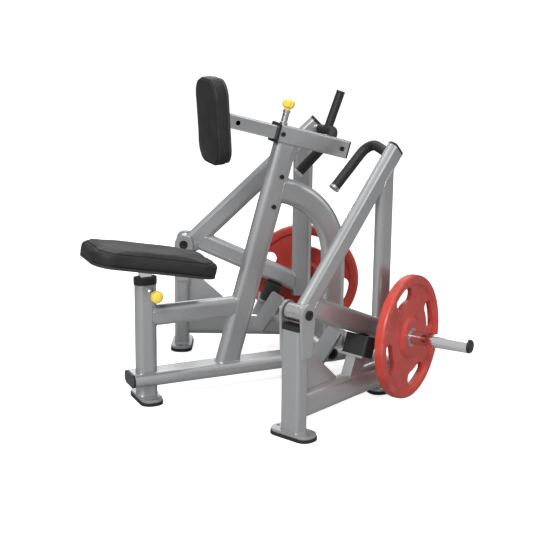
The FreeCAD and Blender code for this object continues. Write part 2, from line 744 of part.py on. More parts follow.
    cap = slot_body("beam_cap_" + word, "beam_high", "tube_thick", 7.0,
                    local(dim("beam_end_u"), 0, dim("beam_mid_z"), X, Z))
    PARTS["_beam_cap_" + word] = cap
    return upright, beam


def lever(sign, word):
    """One lever: arm, lower tube, tail tube, boss, bushes, handle and weight horn."""
    name = "lever_%s_" % word
    frame = side_frame(sign)

    def local(u, v, w, along, across):
        turn = frame.Rotation
        spot = frame.multVec(Vector(u, sign * v, w))
        return axes(spot, turn.multVec(Vector(along.x, sign * along.y, along.z)),
                    turn.multVec(Vector(across.x, sign * across.y, across.z)))

    pivot = dim("pivot_z")
    boss_at = local(0, -dim("boss_half"), pivot, Y, X)
    boss_env = rod(name + "boss_envelope", "boss_dia", 2 * dim("boss_half"), boss_at)
    boss_bore = rod(name + "boss_bore", "boss_bore", 2 * dim("boss_half"), boss_at)
    label(cut(name + "boss", boss_env, boss_bore), name + "boss")
    bushes = []
    for end in (-1, 1):
        outline = [
            (dim("shaft_dia") / 2 + dim("run_gap"), 0.0),
            (dim("boss_bore") / 2, 0.0),
            (dim("boss_bore") / 2, 24.0),
            (27.0, 24.0),
            (27.0, 28.9),
            (dim("shaft_dia") / 2 + dim("run_gap"), 28.9),
        ]
        where = local(0, end * (dim("boss_half") - 24.0), pivot, Y * end, X)
        bushes.append(turned_body("%sbush%d" % (name, end), outline, where))
    label(group(name + "bushes", *bushes), name + "bushes")

    angle = math.radians(dim("arm_angle"))
    arm_dir = Vector(math.cos(angle), 0, math.sin(angle))
    anchor = Vector(dim("arm_u"), 0, dim("arm_w"))
    to_pivot = (Vector(0, 0, pivot) - anchor).dot(arm_dir)
    start = anchor + arm_dir * to_pivot
    arm_long = -to_pivot + dim("arm_up")
    arm, arm_core = hollow(name + "arm", "lever_deep", "lever_thick", arm_long,
                           local(start.x, 0, start.z, arm_dir, Vector(arm_dir.z, 0, -arm_dir.x)))
    low = math.radians(dim("low_angle"))
    low_dir = Vector(math.cos(low), 0, -math.sin(low))
    low_anchor = Vector(dim("low_u"), 0, dim("low_w"))
    low_start = low_anchor + low_dir * (Vector(0, 0, pivot) - low_anchor).dot(low_dir)
    low_long = (dim("tail_u") - low_start.x) / math.cos(low)
    lower, lower_core = hollow(name + "lower", "lever_deep", "lever_thick", low_long,
                               local(low_start.x, 0, low_start.z, low_dir, Vector(low_dir.z, 0, -low_dir.x)))
    tail_top = dim("arm_w") + math.tan(angle) * (dim("tail_u") - dim("arm_u"))
    tail_long = tail_top - dim("tail_low_w")
    tail, tail_core = hollow(name + "tail", "lever_deep", "lever_thick", tail_long,
                             local(dim("tail_u"), 0, dim("tail_low_w"), Z, X), 5.0, -1.0)
    label(cut(name + "arm", arm, arm_core, boss_env), name + "arm")
    behind = block(name + "lower_trim", 300.0, 200.0, 300.0,
                   local(*(tuple(start)), arm_dir * -1, Vector(arm_dir.z, 0, -arm_dir.x)))
    above = block(name + "upper_trim", 300.0, 200.0, 300.0,
                  local(*(tuple(start)), Vector(-arm_dir.z, 0, arm_dir.x), arm_dir))
    label(cut(name + "lower", lower, lower_core, arm, boss_env, tail, behind, above), name + "lower")
    label(cut(name + "tail", tail, tail_core, arm), name + "tail")

    cap_place = local(*(tuple(start + arm_dir * arm_long)), arm_dir, Vector(arm_dir.z, 0, -arm_dir.x))
    arm_cap = slot_body(name + "arm_cap", "lever_deep", "lever_thick", 9.0, cap_place)

    tilt = math.radians(dim("horn_tilt"))
    yaw = math.radians(dim("horn_yaw"))
    horn_dir = Vector(math.sin(yaw) * math.cos(tilt), math.cos(yaw) * math.cos(tilt), math.sin(tilt))
    root = Vector(dim("tail_u"), dim("lever_thick") / 2, dim("horn_w")) - horn_dir * dim("horn_sunk")
    horn_at = local(root.x, root.y, root.z, horn_dir, X)
    horn_long = dim("horn_long") + dim("horn_sunk")
    flange_long = dim("horn_sunk") + 10.0
    loaded_long = flange_long + dim("spacer_long") - 10.0 + dim("plate_thick") + 2.0
    loaded = rod(name + "horn_loaded", dim("horn_dia") - dim("horn_relief"), loaded_long, horn_at)
    free = rod(name + "horn_free", "horn_dia", horn_long - loaded_long, shifted(horn_at, 0, 0, loaded_long))
    horn_inner = rod(name + "horn_inner", dim("horn_dia") - 8.0, horn_long - 5.0, shifted(horn_at, 0, 0, 10.0))
    flange = rod(name + "horn_flange", 74.0, flange_long, horn_at)
    horn = cut(name + "horn_trim", fuse(name + "horn_blank", loaded, free, flange), horn_inner, tail, lower)
    label(horn, name + "horn")
    spacer_at = shifted(horn_at, 0, 0, flange_long)
    spacer = rod(name + "spacer_outer", "spacer_dia", dim("spacer_long") - 10.0, spacer_at)
    label(cut(name + "spacer", spacer, loaded), name + "spacer")
    horn_cap = turned_body(name + "horn_cap", [
        (0.0, 0.0),
        (dim("horn_dia") / 2, 0.0),
        (dim("horn_dia") / 2, 5.0),
        (dim("horn_dia") / 2 - 3.0, 10.0),
        (dim("horn_dia") / 4, 13.0),
        (0.0, 14.0),
    ], shifted(horn_at, 0, 0, horn_long))
    label(group(name + "caps", arm_cap, horn_cap), name + "caps")

    plate_at = shifted(horn_at, 0, 0, flange_long + dim("spacer_long") - 10.0 + 0.3)
    weight_plate(word, plate_at)
    handle(sign, name, frame, arm, arm_cap)


def handle(sign, name, frame, arm, arm_cap):
    """The bent handle with its rubber grip; the left lever also carries an upright grip."""
    root = frame.multVec(Vector(dim("handle_u"), 0, dim("handle_w")))
    elbow = root + Vector(12.0, -sign * 190.0, 18.0)
    end = elbow + Vector(-157.0, sign * 25.0, -159.0)
    bend = 46.0
    points = [root, elbow, end]
    bar = pipe_shape(points, bend, dim("bar_dia"))
    leg = (end - elbow).normalize()
    ring = Part.makeCylinder(dim("grip_dia") / 2 + 1.5, 9.0, end - leg * 9.0, leg)
    handle_bar = feature(name + "bar_blank", bar.fuse(ring).removeSplitter())
    label(cut(name + "handle", handle_bar, arm, arm_cap), name + "handle")

    inward = (elbow - root).normalize()
    sleeve_points = [root + inward * 52.0, elbow, end - leg * 9.0]
    sleeve = pipe_shape(sleeve_points, bend, dim("grip_dia"))
    grip = feature(name + "grip_blank", sleeve)
    label(cut(name + "grip", grip, handle_bar), name + "grip")
    if sign > 0:
        foot = root + inward * 108.0
        lean = Vector(52.0, 0, 138.0).normalize()
        post = rod("upright_grip_post", dim("grip_dia") - 4.0, 152.0, axes(foot, lean, Y))
        crown = rod("upright_grip_crown", dim("grip_dia") + 1.0, 6.0, axes(foot + lean * 152.0, lean, Y))
        label(cut("lever_left_upright_grip", fuse("upright_grip_blank", post, crown), grip), "lever_left_upright_grip")


def weight_plate(word, place):
    """A grip weight plate: thick rim, thin web with four hand slots, hub with a steel ring."""
    outer = dim("plate_dia") / 2
    full = dim("plate_thick")
    step = (full - dim("web_thick")) / 2
    bore = dim("horn_dia") / 2 + dim("run_gap")
    disc = turned_body("disc_" + word, [
        (bore, 0.0),
        (66.0, 0.0),
        (78.0, step),
        (188.0, step),
        (195.0, 2.0),
        (199.0, 0.0),
        (outer - 8.0, 0.0),
        (outer - 2.0, 3.0),
        (outer, 9.0),
        (outer, full - 9.0),
        (outer - 2.0, full - 3.0),
        (outer - 8.0, full),
        (199.0, full),
        (195.0, full - 2.0),
        (188.0, full - step),
        (78.0, full - step),
        (66.0, full),
        (bore, full),
    ], place)
    slots = []
    for index in range(4):
        middle = math.radians(17.0 + 90.0 * index)
        spread = math.radians(12.0)
        near, far = 136.0, 186.0

        def at(radius, angle):
            return Vector(radius * math.cos(angle), radius * math.sin(angle), -5.0)

        first, last = middle - spread, middle + spread
        mean = (near + far) / 2
        cap = (far - near) / 2
        grow = math.asin(cap / mean)
        outline = Part.Wire([
            Part.Arc(at(far, first), at(far, middle), at(far, last)).toShape(),
            Part.Arc(at(far, last), at(mean, last + grow), at(near, last)).toShape(),
            Part.Arc(at(near, last), at(near, middle), at(near, first)).toShape(),
            Part.Arc(at(near, first), at(mean, first - grow), at(far, first)).toShape(),
        ])
        slot = doc.addObject("Part::Feature", "plate_slot_%s%d" % (word, index))
        slot.Shape = Part.Face(outline).extrude(Vector(0, 0, full + 10.0))
        slot.Placement = place
        slots.append(slot)
    label(cut("plate_" + word, disc, *slots), "plate_" + word)


# ---------------------------------------------------------------- feet, rests and trim

def foot_pair(name, place):
    """A rubber pad and the steel plate on it, with two anchor holes through both."""
    pad = block(name + "_pad", "foot_long", "foot_wide", "foot_pad_high", place, dim("foot_round"))
    plate_at = shifted(place, 0, 0, dim("foot_pad_high"))
    plate_high = dim("foot_top") - dim("foot_pad_high")
    plate = block(name + "_plate", dim("foot_long") - 6, dim("foot_wide") - 6, plate_high, plate_at, dim("foot_round") - 3)
    holes = []
    for end in (-1, 1):
        at = shifted(place, end * (dim("foot_long") / 2 - 20.0), 0, -1)
        holes.append(rod("%s_hole%d" % (name, end), 12.0, 40.0, at))
    return cut(name + "_pad_cut", pad, *holes), cut(name + "_plate_cut", plate, *holes)


def feet():
    """Five feet: one at the front, one below each side upright and two at the rear."""
    places = [axes(SHIFT + Vector(dim("post_x"), 0, 0), Z, Y)]
    for sign in (1, -1):
        frame = side_frame(sign)
        spot = frame.multVec(Vector(dim("side_mid_u"), 0, 0))
        places.append(axes(spot, Z, frame.Rotation.multVec(Y)))
    for sign in (1, -1):
        places.append(axes(SHIFT + Vector(dim("cross_x"), sign * 210.0, 0), Z, Y))
    pads = []
    plates = []
    for index, place in enumerate(places):
        pad, plate = foot_pair("foot%d" % index, place)
        pads.append(pad)
        plates.append(plate)
    label(group("foot_pads", *pads), "foot_pads")
    label(group("foot_plates", *plates), "foot_plates")


def rear(beams):
    """The cross beam between the rear ends of the side beams, on two short legs."""
    half = dim("side_y") - math.tan(math.radians(dim("toe_in"))) * dim("cross_x")
    at = axes(SHIFT + Vector(dim("cross_x"), -half, dim("beam_mid_z")), Y, Z)
    cross, cross_core = hollow("cross", "cross_high", "tube_thick", 2 * half, at)
    label(cut("rear_cross_beam", cross, cross_core, *beams), "rear_cross_beam")
    legs = []
    for sign in (1, -1):
        foot = SHIFT + Vector(dim("cross_x"), sign * 210.0, dim("foot_top"))
        leg = slot_body("rear_leg%d" % sign, "side_wide", "tube_thick", 60.0, axes(foot, Z, Y))
        legs.append(cut("rear_leg_cut%d" % sign, leg, cross))
    label(group("rear_legs", *legs), "rear_legs")


def foot_rests():
    """Two tilted foot plates on one crossbar that sits over the base tube."""
    angle = math.radians(dim("rest_angle"))
    up = Vector(math.cos(angle), 0, math.sin(angle))
    face = Vector(-math.sin(angle), 0, math.cos(angle))
    plates = []
    bar_centre = SHIFT + Vector(dim("rest_x"), 0, dim("rest_z")) - face * (dim("rest_thick") + dim("crossbar_dia") / 2)
    bar_at = axes(bar_centre - Y * (dim("crossbar_long") / 2), Y, X)
    bar = rod("rest_bar_outer", "crossbar_dia", "crossbar_long", bar_at)
    bar_core = rod("rest_bar_inner", dim("crossbar_dia") - 6.0, dim("crossbar_long"), bar_at)
    for sign in (1, -1):
        centre = SHIFT + Vector(dim("rest_x"), sign * dim("rest_y"), dim("rest_z"))
        back = centre - face * dim("rest_thick")
        plates.append(block("rest_plate%d" % sign, "rest_long", "rest_wide", "rest_thick", axes(back, face, up), 14.0))
    label(group("foot_rests", *plates), "foot_rests")
    saddle_at = axes(Vector(bar_centre.x, 0, dim("base_mid_z")), Z, X)
    saddle = block("rest_saddle", 56.0, 76.0, bar_centre.z - dim("base_mid_z"), saddle_at, 6.0)
    rest_bar = cut("rest_bar_cut", bar, bar_core)
    saddle_end = cut("rest_saddle_cut", saddle, doc.getObject("base_envelope"), bar)
    label(fuse("foot_rest_bar", rest_bar, saddle_end), "foot_rest_bar")


def trim():
    """End caps, bolts and the grouped mirrored pieces."""
    front_at = axes(SHIFT + Vector(dim("base_front_x") - 8.0, 0, dim("base_mid_z")), X, Y)
    front_cap = slot_body("base_cap", "base_wide", "base_high", 8.0, front_at)
    rail_end = rail_point(-48.0 + dim("rail_long"))
    rail_cap = block("rail_cap", "rail_wide", "rail_high", 6.0, axes(rail_end, RAIL_DIR, Y), 6.0)
    side_caps = [PARTS["_%s_cap_%s" % (place, word)] for place in ("beam", "side") for word in ("left", "right")]
    label(group("tube_end_caps", front_cap, rail_cap, *side_caps), "tube_end_caps")
    label(group("clevis_plates", PARTS["_ears_left"], PARTS["_ears_right"]), "clevis_plates")
    label(group("gussets", PARTS["_gusset_left"], PARTS["_gusset_right"]), "gussets")
    label(group("bumpers", PARTS["_bumper_left"], PARTS["_bumper_right"]), "bumpers")
    label(group("bumper_brackets", PARTS["_bracket_left"], PARTS["_bracket_right"]), "bumper_brackets")
    label(group("pivot_bolts", PARTS["_shaft_left"], PARTS["_shaft_right"]), "pivot_bolts")
    label(group("pin_barrels", PARTS["_seat_barrel"], PARTS["_rail_barrel"]), "pin_barrels")

    heads = []
    rail_side = dim("rail_wide") / 2
    for index, reach in enumerate((-34.0, 216.0)):
        for side in (-1, 1):
            at = axes(rail_point(reach) + Y * side * rail_side, Y * side, X)
            heads.append(bolt_head("rail_bolt%d%d" % (index, side), "bolt_dia", "bolt_high", at))
    for index, height in enumerate((690.0, 800.0)):
        reach = (height - dim("base_mid_z")) * math.tan(LEAN)
        spot = SHIFT + Vector(dim("upright_foot_x") + reach, 0, height) + RAIL_DIR * 8.0
        for side in (-1, 1):
            at = axes(spot + Y * side * (dim("upright_wide") / 2), Y * side, X)
            heads.append(bolt_head("upright_bolt%d%d" % (index, side), "bolt_dia", "bolt_high", at))
    label(group("frame_bolts", *heads), "frame_bolts")


def build():
    centre_frame()
    seat()
    rail_and_slide()
    beams = []
    for sign, word in ((1, "left"), (-1, "right")):
        beams.append(side_static(sign, word)[1])
    rear(beams)
    for sign, word in ((1, "left"), (-1, "right")):
        lever(sign, word)
    feet()
    foot_rests()
    trim()


def write_all():
    """Recompute, check every object, then write one STEP file for each sub-part."""
    doc.recompute()
    bad = [item.Name for item in doc.Objects if "Invalid" in item.State or "Error" in item.State]
    if bad:
        raise RuntimeError("failed objects: %s" % ", ".join(bad))
    finished = {name: item for name, item in PARTS.items() if not name.startswith("_")}
    for name, item in finished.items():
        if item.Shape.isNull() or not item.Shape.isValid():
            raise RuntimeError("bad shape: " + name)
        if item.Shape.Volume <= 0:
            raise RuntimeError("empty shape: " + name)
    os.makedirs("parts", exist_ok=True)
    for name, item in finished.items():
        item.Shape.exportStep("parts/%s.step" % name)
        box = item.Shape.BoundBox
        print("%-26s solids %d volume %.1f cm3  x %.0f..%.0f y %.0f..%.0f z %.0f..%.0f" % (
            name, len(item.Shape.Solids), item.Shape.Volume / 1000.0,
            box.XMin, box.XMax, box.YMin, box.YMax, box.ZMin, box.ZMax))
    print(len(finished), "sub-parts")


build()
write_all()
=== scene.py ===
import json
import math

import bmesh
import bpy
import numpy as np
from mathutils import Matrix, Vector, noise
from mathutils.bvhtree import BVHTree

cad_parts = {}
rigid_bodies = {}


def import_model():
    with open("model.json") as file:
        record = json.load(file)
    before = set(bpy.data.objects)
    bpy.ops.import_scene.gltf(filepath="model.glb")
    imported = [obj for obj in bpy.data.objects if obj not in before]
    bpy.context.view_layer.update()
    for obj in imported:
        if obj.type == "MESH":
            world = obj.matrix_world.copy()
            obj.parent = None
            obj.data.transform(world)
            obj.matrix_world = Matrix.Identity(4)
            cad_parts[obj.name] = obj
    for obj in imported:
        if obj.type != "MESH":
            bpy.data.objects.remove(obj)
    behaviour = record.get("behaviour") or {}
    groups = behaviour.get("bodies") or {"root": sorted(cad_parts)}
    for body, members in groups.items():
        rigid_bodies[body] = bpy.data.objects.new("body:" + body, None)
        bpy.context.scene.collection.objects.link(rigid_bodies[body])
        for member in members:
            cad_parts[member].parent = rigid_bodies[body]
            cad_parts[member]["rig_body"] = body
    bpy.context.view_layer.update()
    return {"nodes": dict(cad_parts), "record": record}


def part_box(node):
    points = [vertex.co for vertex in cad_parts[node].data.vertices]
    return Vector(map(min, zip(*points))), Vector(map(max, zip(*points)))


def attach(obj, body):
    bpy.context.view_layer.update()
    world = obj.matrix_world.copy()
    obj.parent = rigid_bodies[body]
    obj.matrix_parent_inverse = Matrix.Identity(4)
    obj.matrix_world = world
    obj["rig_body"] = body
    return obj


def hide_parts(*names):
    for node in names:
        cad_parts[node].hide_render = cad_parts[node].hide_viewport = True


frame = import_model()
NODES = frame["nodes"]
MM = 0.001

# sizes repeated from the CAD, millimetres and degrees
SHIFT_X = -54.25
SIDE_Y = 535.0
TOE_IN = 25.0
SEAT_TILT = 11.4
CHEST_LEAN = 3.6
HORN_YAW = 8.5
HORN_TILT = 1.5
GRIP_RADIUS = 19.0
UPRIGHT_GRIP_RADIUS = 17.0
HANDLE_BEND = 46.0
HANDLE_U = 512.0
HANDLE_W = 908.0
HANDLE_FIRST_LEG = (12.0, -190.0, 18.0)
HANDLE_SECOND_LEG = (-157.0, 25.0, -159.0)
UPRIGHT_GRIP_LEAN = (52.0, 0.0, 138.0)


# ---------------------------------------------------------------- node helpers

class Nodes:
    """A small builder for a node tree that starts from one kind of texture coordinate."""

    def __init__(self, node_tree, coordinate):
        self.nodes = node_tree.nodes
        self.links = node_tree.links
        self.nodes.clear()
        self.place = self.add("ShaderNodeTexCoord").outputs[coordinate]

    def add(self, kind, **settings):
        node = self.nodes.new(kind)
        for key, value in settings.items():
            setattr(node, key, value)
        return node

    def put(self, value, socket):
        """Link a socket or set a plain value."""
        if isinstance(value, bpy.types.NodeSocket):
            self.links.new(value, socket)
        else:
            socket.default_value = value

    def scaled(self, factors):
        node = self.add("ShaderNodeVectorMath", operation="MULTIPLY")
        self.put(self.place, node.inputs[0])
        node.inputs[1].default_value = factors
        return node.outputs[0]

    def noise(self, scale, detail=4.0, rough=0.55, vector=None):
        node = self.add("ShaderNodeTexNoise")
        self.put(self.place if vector is None else vector, node.inputs["Vector"])
        node.inputs["Scale"].default_value = scale
        node.inputs["Detail"].default_value = detail
        node.inputs["Roughness"].default_value = rough
        return node.outputs["Fac"]

    def cells(self, scale, feature="F1"):
        node = self.add("ShaderNodeTexVoronoi", feature=feature)
        self.put(self.place, node.inputs["Vector"])
        node.inputs["Scale"].default_value = scale
        return node.outputs["Distance"]

    def math(self, operation, first, second):
        node = self.add("ShaderNodeMath", operation=operation)
        self.put(first, node.inputs[0])
        self.put(second, node.inputs[1])
        return node.outputs[0]

    def spread(self, value, low, high, to_low=0.0, to_high=1.0):
        """Map the range from low to high onto the range from to_low to to_high, held at its ends."""
        node = self.add("ShaderNodeMapRange")
        self.put(value, node.inputs["Value"])
        ends = {"From Min": low, "From Max": high, "To Min": to_low, "To Max": to_high}
        for key, number in ends.items():
            self.put(number, node.inputs[key])
        return node.outputs["Result"]

    def mix(self, factor, first, second):
        node = self.add("ShaderNodeMix", data_type="RGBA")
        self.put(factor, node.inputs["Factor"])
        self.put(first, node.inputs["A"])
        self.put(second, node.inputs["B"])
        return node.outputs["Result"]

    def bump(self, height, strength, distance, under=None):
        node = self.add("ShaderNodeBump")
        node.inputs["Strength"].default_value = strength
        node.inputs["Distance"].default_value = distance
        self.put(height, node.inputs["Height"])
        if under is not None:
            self.put(under, node.inputs["Normal"])
        return node.outputs["Normal"]

    def rounded(self, radius):
        """A shading normal that softens sharp edges."""
        node = self.add("ShaderNodeBevel", samples=4)
        node.inputs["Radius"].default_value = radius
        return node.outputs["Normal"]

    def edges(self, soft):
        """A mask of sharp edges: where the softened normal turns away from the true one."""
        node = self.add("ShaderNodeVectorMath", operation="DOT_PRODUCT")
        self.put(soft, node.inputs[0])
        self.put(self.add("ShaderNodeNewGeometry").outputs["Normal"], node.inputs[1])
        return self.spread(node.outputs["Value"], 0.99, 0.86)


class Tree(Nodes):
    """A material with one principled shader."""

    def __init__(self, name):
        self.material = bpy.data.materials.new(name)
        self.material.use_nodes = True
        super().__init__(self.material.node_tree, "Object")
        output = self.add("ShaderNodeOutputMaterial")
        self.shader = self.add("ShaderNodeBsdfPrincipled")
        self.links.new(self.shader.outputs[0], output.inputs["Surface"])

    def surface(self, **values):
        """Set or link the shader's inputs, named with underscores for spaces."""
        for key, value in values.items():
            self.put(value, self.shader.inputs[key.replace("_", " ")])


def rgb(red, green, blue):
    return (red, green, blue, 1.0)


# ---------------------------------------------------------------- materials

def paint_material():
    """Silver-grey metallic powder coat: fine flake, orange peel, smudges and rubbed edges."""
    tree = Tree("silver_powder_coat")
    soft = tree.rounded(0.0014)
    tone = tree.noise(2.5, 2.0)
    flake = tree.cells(1700.0)
    color = tree.mix(tree.spread(tone, 0.3, 0.7), rgb(0.40, 0.405, 0.412), rgb(0.435, 0.44, 0.447))
    color = tree.mix(tree.spread(flake, 0.0, 0.5, 0.25, 0.0), color, rgb(0.7, 0.71, 0.73))
    smudge = tree.spread(tree.noise(9.0, 7.0, 0.7), 0.54, 0.78)
    color = tree.mix(tree.math("MULTIPLY", smudge, 0.10), color, rgb(0.25, 0.25, 0.26))
    patches = tree.spread(tree.noise(60.0, 5.0, 0.7), 0.4, 0.62)
    worn = tree.math("MULTIPLY", tree.edges(soft), patches)
    color = tree.mix(tree.math("MULTIPLY", worn, 0.45), color, rgb(0.72, 0.72, 0.72))
    normal = tree.bump(tree.noise(520.0, 2.0), 0.09, 0.0005, soft)
    normal = tree.bump(tree.noise(2400.0, 1.0), 0.05, 0.0002, normal)
    tree.surface(Base_Color=color, Metallic=0.72, Normal=normal,
                 Roughness=tree.spread(tree.noise(24.0, 5.0, 0.6), 0.3, 0.8, 0.29, 0.37),
                 Coat_Weight=0.22, Coat_Roughness=0.16)
    return tree.material


def rubber_material(name="moulded_rubber", shade=0.013, rough=0.62):
    tree = Tree(name)
    dust = tree.spread(tree.noise(30.0, 6.0, 0.65), 0.5, 0.8)
    color = tree.mix(tree.math("MULTIPLY", dust, 0.35), rgb(shade, shade, shade), rgb(0.05, 0.049, 0.047))
    normal = tree.bump(tree.noise(900.0, 3.0), 0.18, 0.0004, tree.rounded(0.0016))
    tree.surface(Base_Color=color, Normal=normal, Specular_IOR_Level=0.42,
                 Roughness=tree.spread(tree.noise(60.0, 4.0), 0.3, 0.75, rough - 0.08, rough + 0.12))
    return tree.material


def plastic_material():
    tree = Tree("moulded_plastic")
    scuff = tree.spread(tree.noise(55.0, 7.0, 0.7), 0.56, 0.74)
    color = tree.mix(tree.math("MULTIPLY", scuff, 0.3), rgb(0.010, 0.010, 0.011), rgb(0.04, 0.04, 0.04))
    normal = tree.bump(tree.cells(1300.0), 0.14, 0.0003, tree.rounded(0.0012))
    tree.surface(Base_Color=color, Normal=normal,
                 Roughness=tree.spread(tree.noise(70.0, 4.0), 0.3, 0.7, 0.34, 0.5))
    return tree.material


def vinyl_material():
    """Charcoal upholstery vinyl: a small pebbled grain, faint creases and polish where it is sat on; its
    colour holds painted shade in the grain's hollows and painted shade and highlight along the creases.
    """
    tree = Tree("charcoal_vinyl")
    grain = tree.cells(620.0, "SMOOTH_F1")
    pores = tree.cells(1500.0)
    crease = tree.noise(16.0, 5.0, 0.55)
    # painted shade and highlight: the colour is darker in the crease valleys and lighter on their crests,
    # following the crease bump
    color = tree.mix(tree.spread(crease, 0.35, 0.7), rgb(0.016, 0.016, 0.017), rgb(0.024, 0.024, 0.025))
    # painted shade: the colour is darker in the hollows of the grain bump
    color = tree.mix(tree.spread(grain, 0.15, 0.6, 0.35, 0.0), color, rgb(0.012, 0.012, 0.012))
    normal = tree.bump(grain, 0.32, 0.0006)
    normal = tree.bump(pores, 0.10, 0.0002, normal)
    normal = tree.bump(crease, 0.10, 0.004, normal)
    tree.surface(Base_Color=color, Normal=normal, Specular_IOR_Level=0.22,
                 Roughness=tree.spread(tree.noise(9.0, 3.0), 0.3, 0.75, 0.5, 0.64))
    return tree.material


def board_material():
    """Painted plywood backing with its grain just showing."""
    tree = Tree("painted_plywood")
    grain = tree.noise(14.0, 6.0, 0.6, tree.scaled((4.0, 26.0, 26.0)))
    color = tree.mix(tree.spread(grain, 0.35, 0.7), rgb(0.014, 0.014, 0.014), rgb(0.032, 0.03, 0.028))
    tree.surface(Base_Color=color, Roughness=0.6, Normal=tree.bump(grain, 0.25, 0.0008))
    return tree.material


def chrome_material():
    """Bright chrome plate with fine rub marks along its length."""
    tree = Tree("chrome_plate")
    rub = tree.noise(30.0, 6.0, 0.7, tree.scaled((3.0, 20.0, 20.0)))
    spots = tree.spread(tree.noise(140.0, 5.0, 0.7), 0.62, 0.78)
    rough = tree.math("ADD", tree.spread(rub, 0.35, 0.75, 0.05, 0.13), tree.math("MULTIPLY", spots, 0.12))
    color = tree.mix(spots, rgb(0.78, 0.79, 0.8), rgb(0.62, 0.62, 0.62))
    tree.surface(Base_Color=color, Metallic=1.0, Roughness=rough, Normal=tree.bump(rub, 0.02, 0.0006))
    return tree.material


def steel_material():
    """Zinc-plated steel, faintly mottled."""
    tree = Tree("zinc_steel")
    bloom = tree.cells(90.0, "SMOOTH_F1")
    color = tree.mix(bloom, rgb(0.47, 0.47, 0.48), rgb(0.66, 0.66, 0.65))
    tree.surface(Base_Color=color, Metallic=1.0, Normal=tree.bump(tree.noise(600.0, 3.0), 0.08, 0.0004),
                 Roughness=tree.spread(tree.noise(120.0, 4.0), 0.3, 0.7, 0.22, 0.4))
    return tree.material


def black_steel_material():
    """Black oxide fasteners, rubbed bright along their edges."""
    tree = Tree("black_oxide_steel")
    soft = tree.rounded(0.0008)
    worn = tree.math("MULTIPLY", tree.edges(soft), 0.4)
    color = tree.mix(worn, rgb(0.016, 0.016, 0.017), rgb(0.3, 0.3, 0.3))
    tree.surface(Base_Color=color, Metallic=0.5,
                 Roughness=tree.spread(tree.noise(160.0, 4.0), 0.3, 0.7, 0.3, 0.46),
                 Normal=tree.bump(tree.noise(900.0, 2.0), 0.08, 0.0003, soft))
    return tree.material


def knob_material():
    tree = Tree("yellow_knob")
    tone = tree.noise(60.0, 4.0)
    color = tree.mix(tree.spread(tone, 0.3, 0.7), rgb(0.80, 0.57, 0.06), rgb(0.88, 0.66, 0.10))
    grime = tree.spread(tree.noise(210.0, 6.0, 0.7), 0.6, 0.8)
    color = tree.mix(tree.math("MULTIPLY", grime, 0.3), color, rgb(0.42, 0.29, 0.05))
    tree.surface(Base_Color=color, Roughness=tree.spread(tone, 0.3, 0.7, 0.28, 0.4),
                 Coat_Weight=0.25, Subsurface_Weight=0.05, Subsurface_Radius=(0.004, 0.002, 0.001),
                 Normal=tree.bump(tree.noise(700.0, 2.0), 0.06, 0.0004))
    return tree.material


def red_plate_material(centre, axis):
    """Red rubber coat with a steel ring at the bore, dustier towards the rim and chipped at its edges."""
    rim_from, rim_to = 0.19, 0.225
    ring_inside, ring_outside = 0.0335, 0.0340
    tree = Tree("red_rubber_coat_%s" % ("left" if centre.y > 0 else "right"))
    away = tree.add("ShaderNodeVectorMath", operation="SUBTRACT")
    tree.put(tree.place, away.inputs[0])
    tree.put(centre, away.inputs[1])
    spun = tree.add("ShaderNodeVectorMath", operation="CROSS_PRODUCT")
    tree.put(away.outputs[0], spun.inputs[0])
    tree.put(axis, spun.inputs[1])
    length = tree.add("ShaderNodeVectorMath", operation="LENGTH")
    tree.put(spun.outputs[0], length.inputs[0])
    radius = length.outputs["Value"]
    tone = tree.noise(11.0, 4.0)
    color = tree.mix(tree.spread(tone, 0.3, 0.7), rgb(0.44, 0.034, 0.024), rgb(0.54, 0.052, 0.037))
    dust = tree.spread(tree.noise(38.0, 7.0, 0.7), 0.5, 0.78)
    rim = tree.spread(radius, rim_from, rim_to)
    dusty = tree.math("MULTIPLY", dust, tree.spread(rim, 0.0, 1.0, 0.16, 0.42))
    color = tree.mix(dusty, color, rgb(0.62, 0.25, 0.22))
    ring = tree.spread(radius, ring_inside, ring_outside, 1.0, 0.0)
    steel = tree.mix(tree.noise(160.0, 4.0), rgb(0.36, 0.36, 0.36), rgb(0.5, 0.49, 0.48))
    soft = tree.rounded(0.002)
    patches = tree.spread(tree.noise(110.0, 5.0, 0.7), 0.5, 0.66)
    chip = tree.math("MULTIPLY", tree.edges(soft), patches)
    color = tree.mix(tree.math("MULTIPLY", chip, 0.35), color, rgb(0.75, 0.42, 0.38))
    color = tree.mix(ring, color, steel)
    peel = tree.noise(480.0, 3.0)
    tree.surface(Base_Color=color, Metallic=ring, Specular_IOR_Level=0.45,
                 Normal=tree.bump(peel, 0.12, 0.0005, soft),
                 Roughness=tree.spread(tree.noise(26.0, 5.0, 0.65), 0.3, 0.75, 0.36, 0.5))
    return tree.material


def thread_material():
    tree = Tree("black_thread")
    twist = tree.noise(3000.0, 2.0)
    tree.surface(Base_Color=tree.mix(twist, rgb(0.03, 0.03, 0.03), rgb(0.09, 0.09, 0.09)), Roughness=0.7)
    return tree.material


PAINT = paint_material()
RUBBER = rubber_material()
GRIP = rubber_material("grip_rubber", 0.011, 0.5)
PLASTIC = plastic_material()
VINYL = vinyl_material()
BOARD = board_material()
CHROME = chrome_material()
STEEL = steel_material()
KNOB = knob_material()
BLACK_STEEL = black_steel_material()
THREAD = thread_material()

BY_SLOT = {
    "frame_paint": PAINT, "black_rubber": RUBBER, "black_plastic": PLASTIC, "chrome": CHROME,
    "zinc_steel": STEEL, "black_vinyl": VINYL, "board": BOARD, "yellow_knob": KNOB,
    "grip_rubber": GRIP, "black_steel": BLACK_STEEL,
}


# ---------------------------------------------------------------- frames and meshes

def side_point(sign, u, v, w):
    """A point given along, across and up one side frame, in metres."""
    turn = math.radians(TOE_IN)
    x = SHIFT_X + u * math.cos(turn) + v * math.sin(turn)
    y = sign * (SIDE_Y - u * math.sin(turn) + v * math.cos(turn))
    return Vector((x, y, w)) * MM


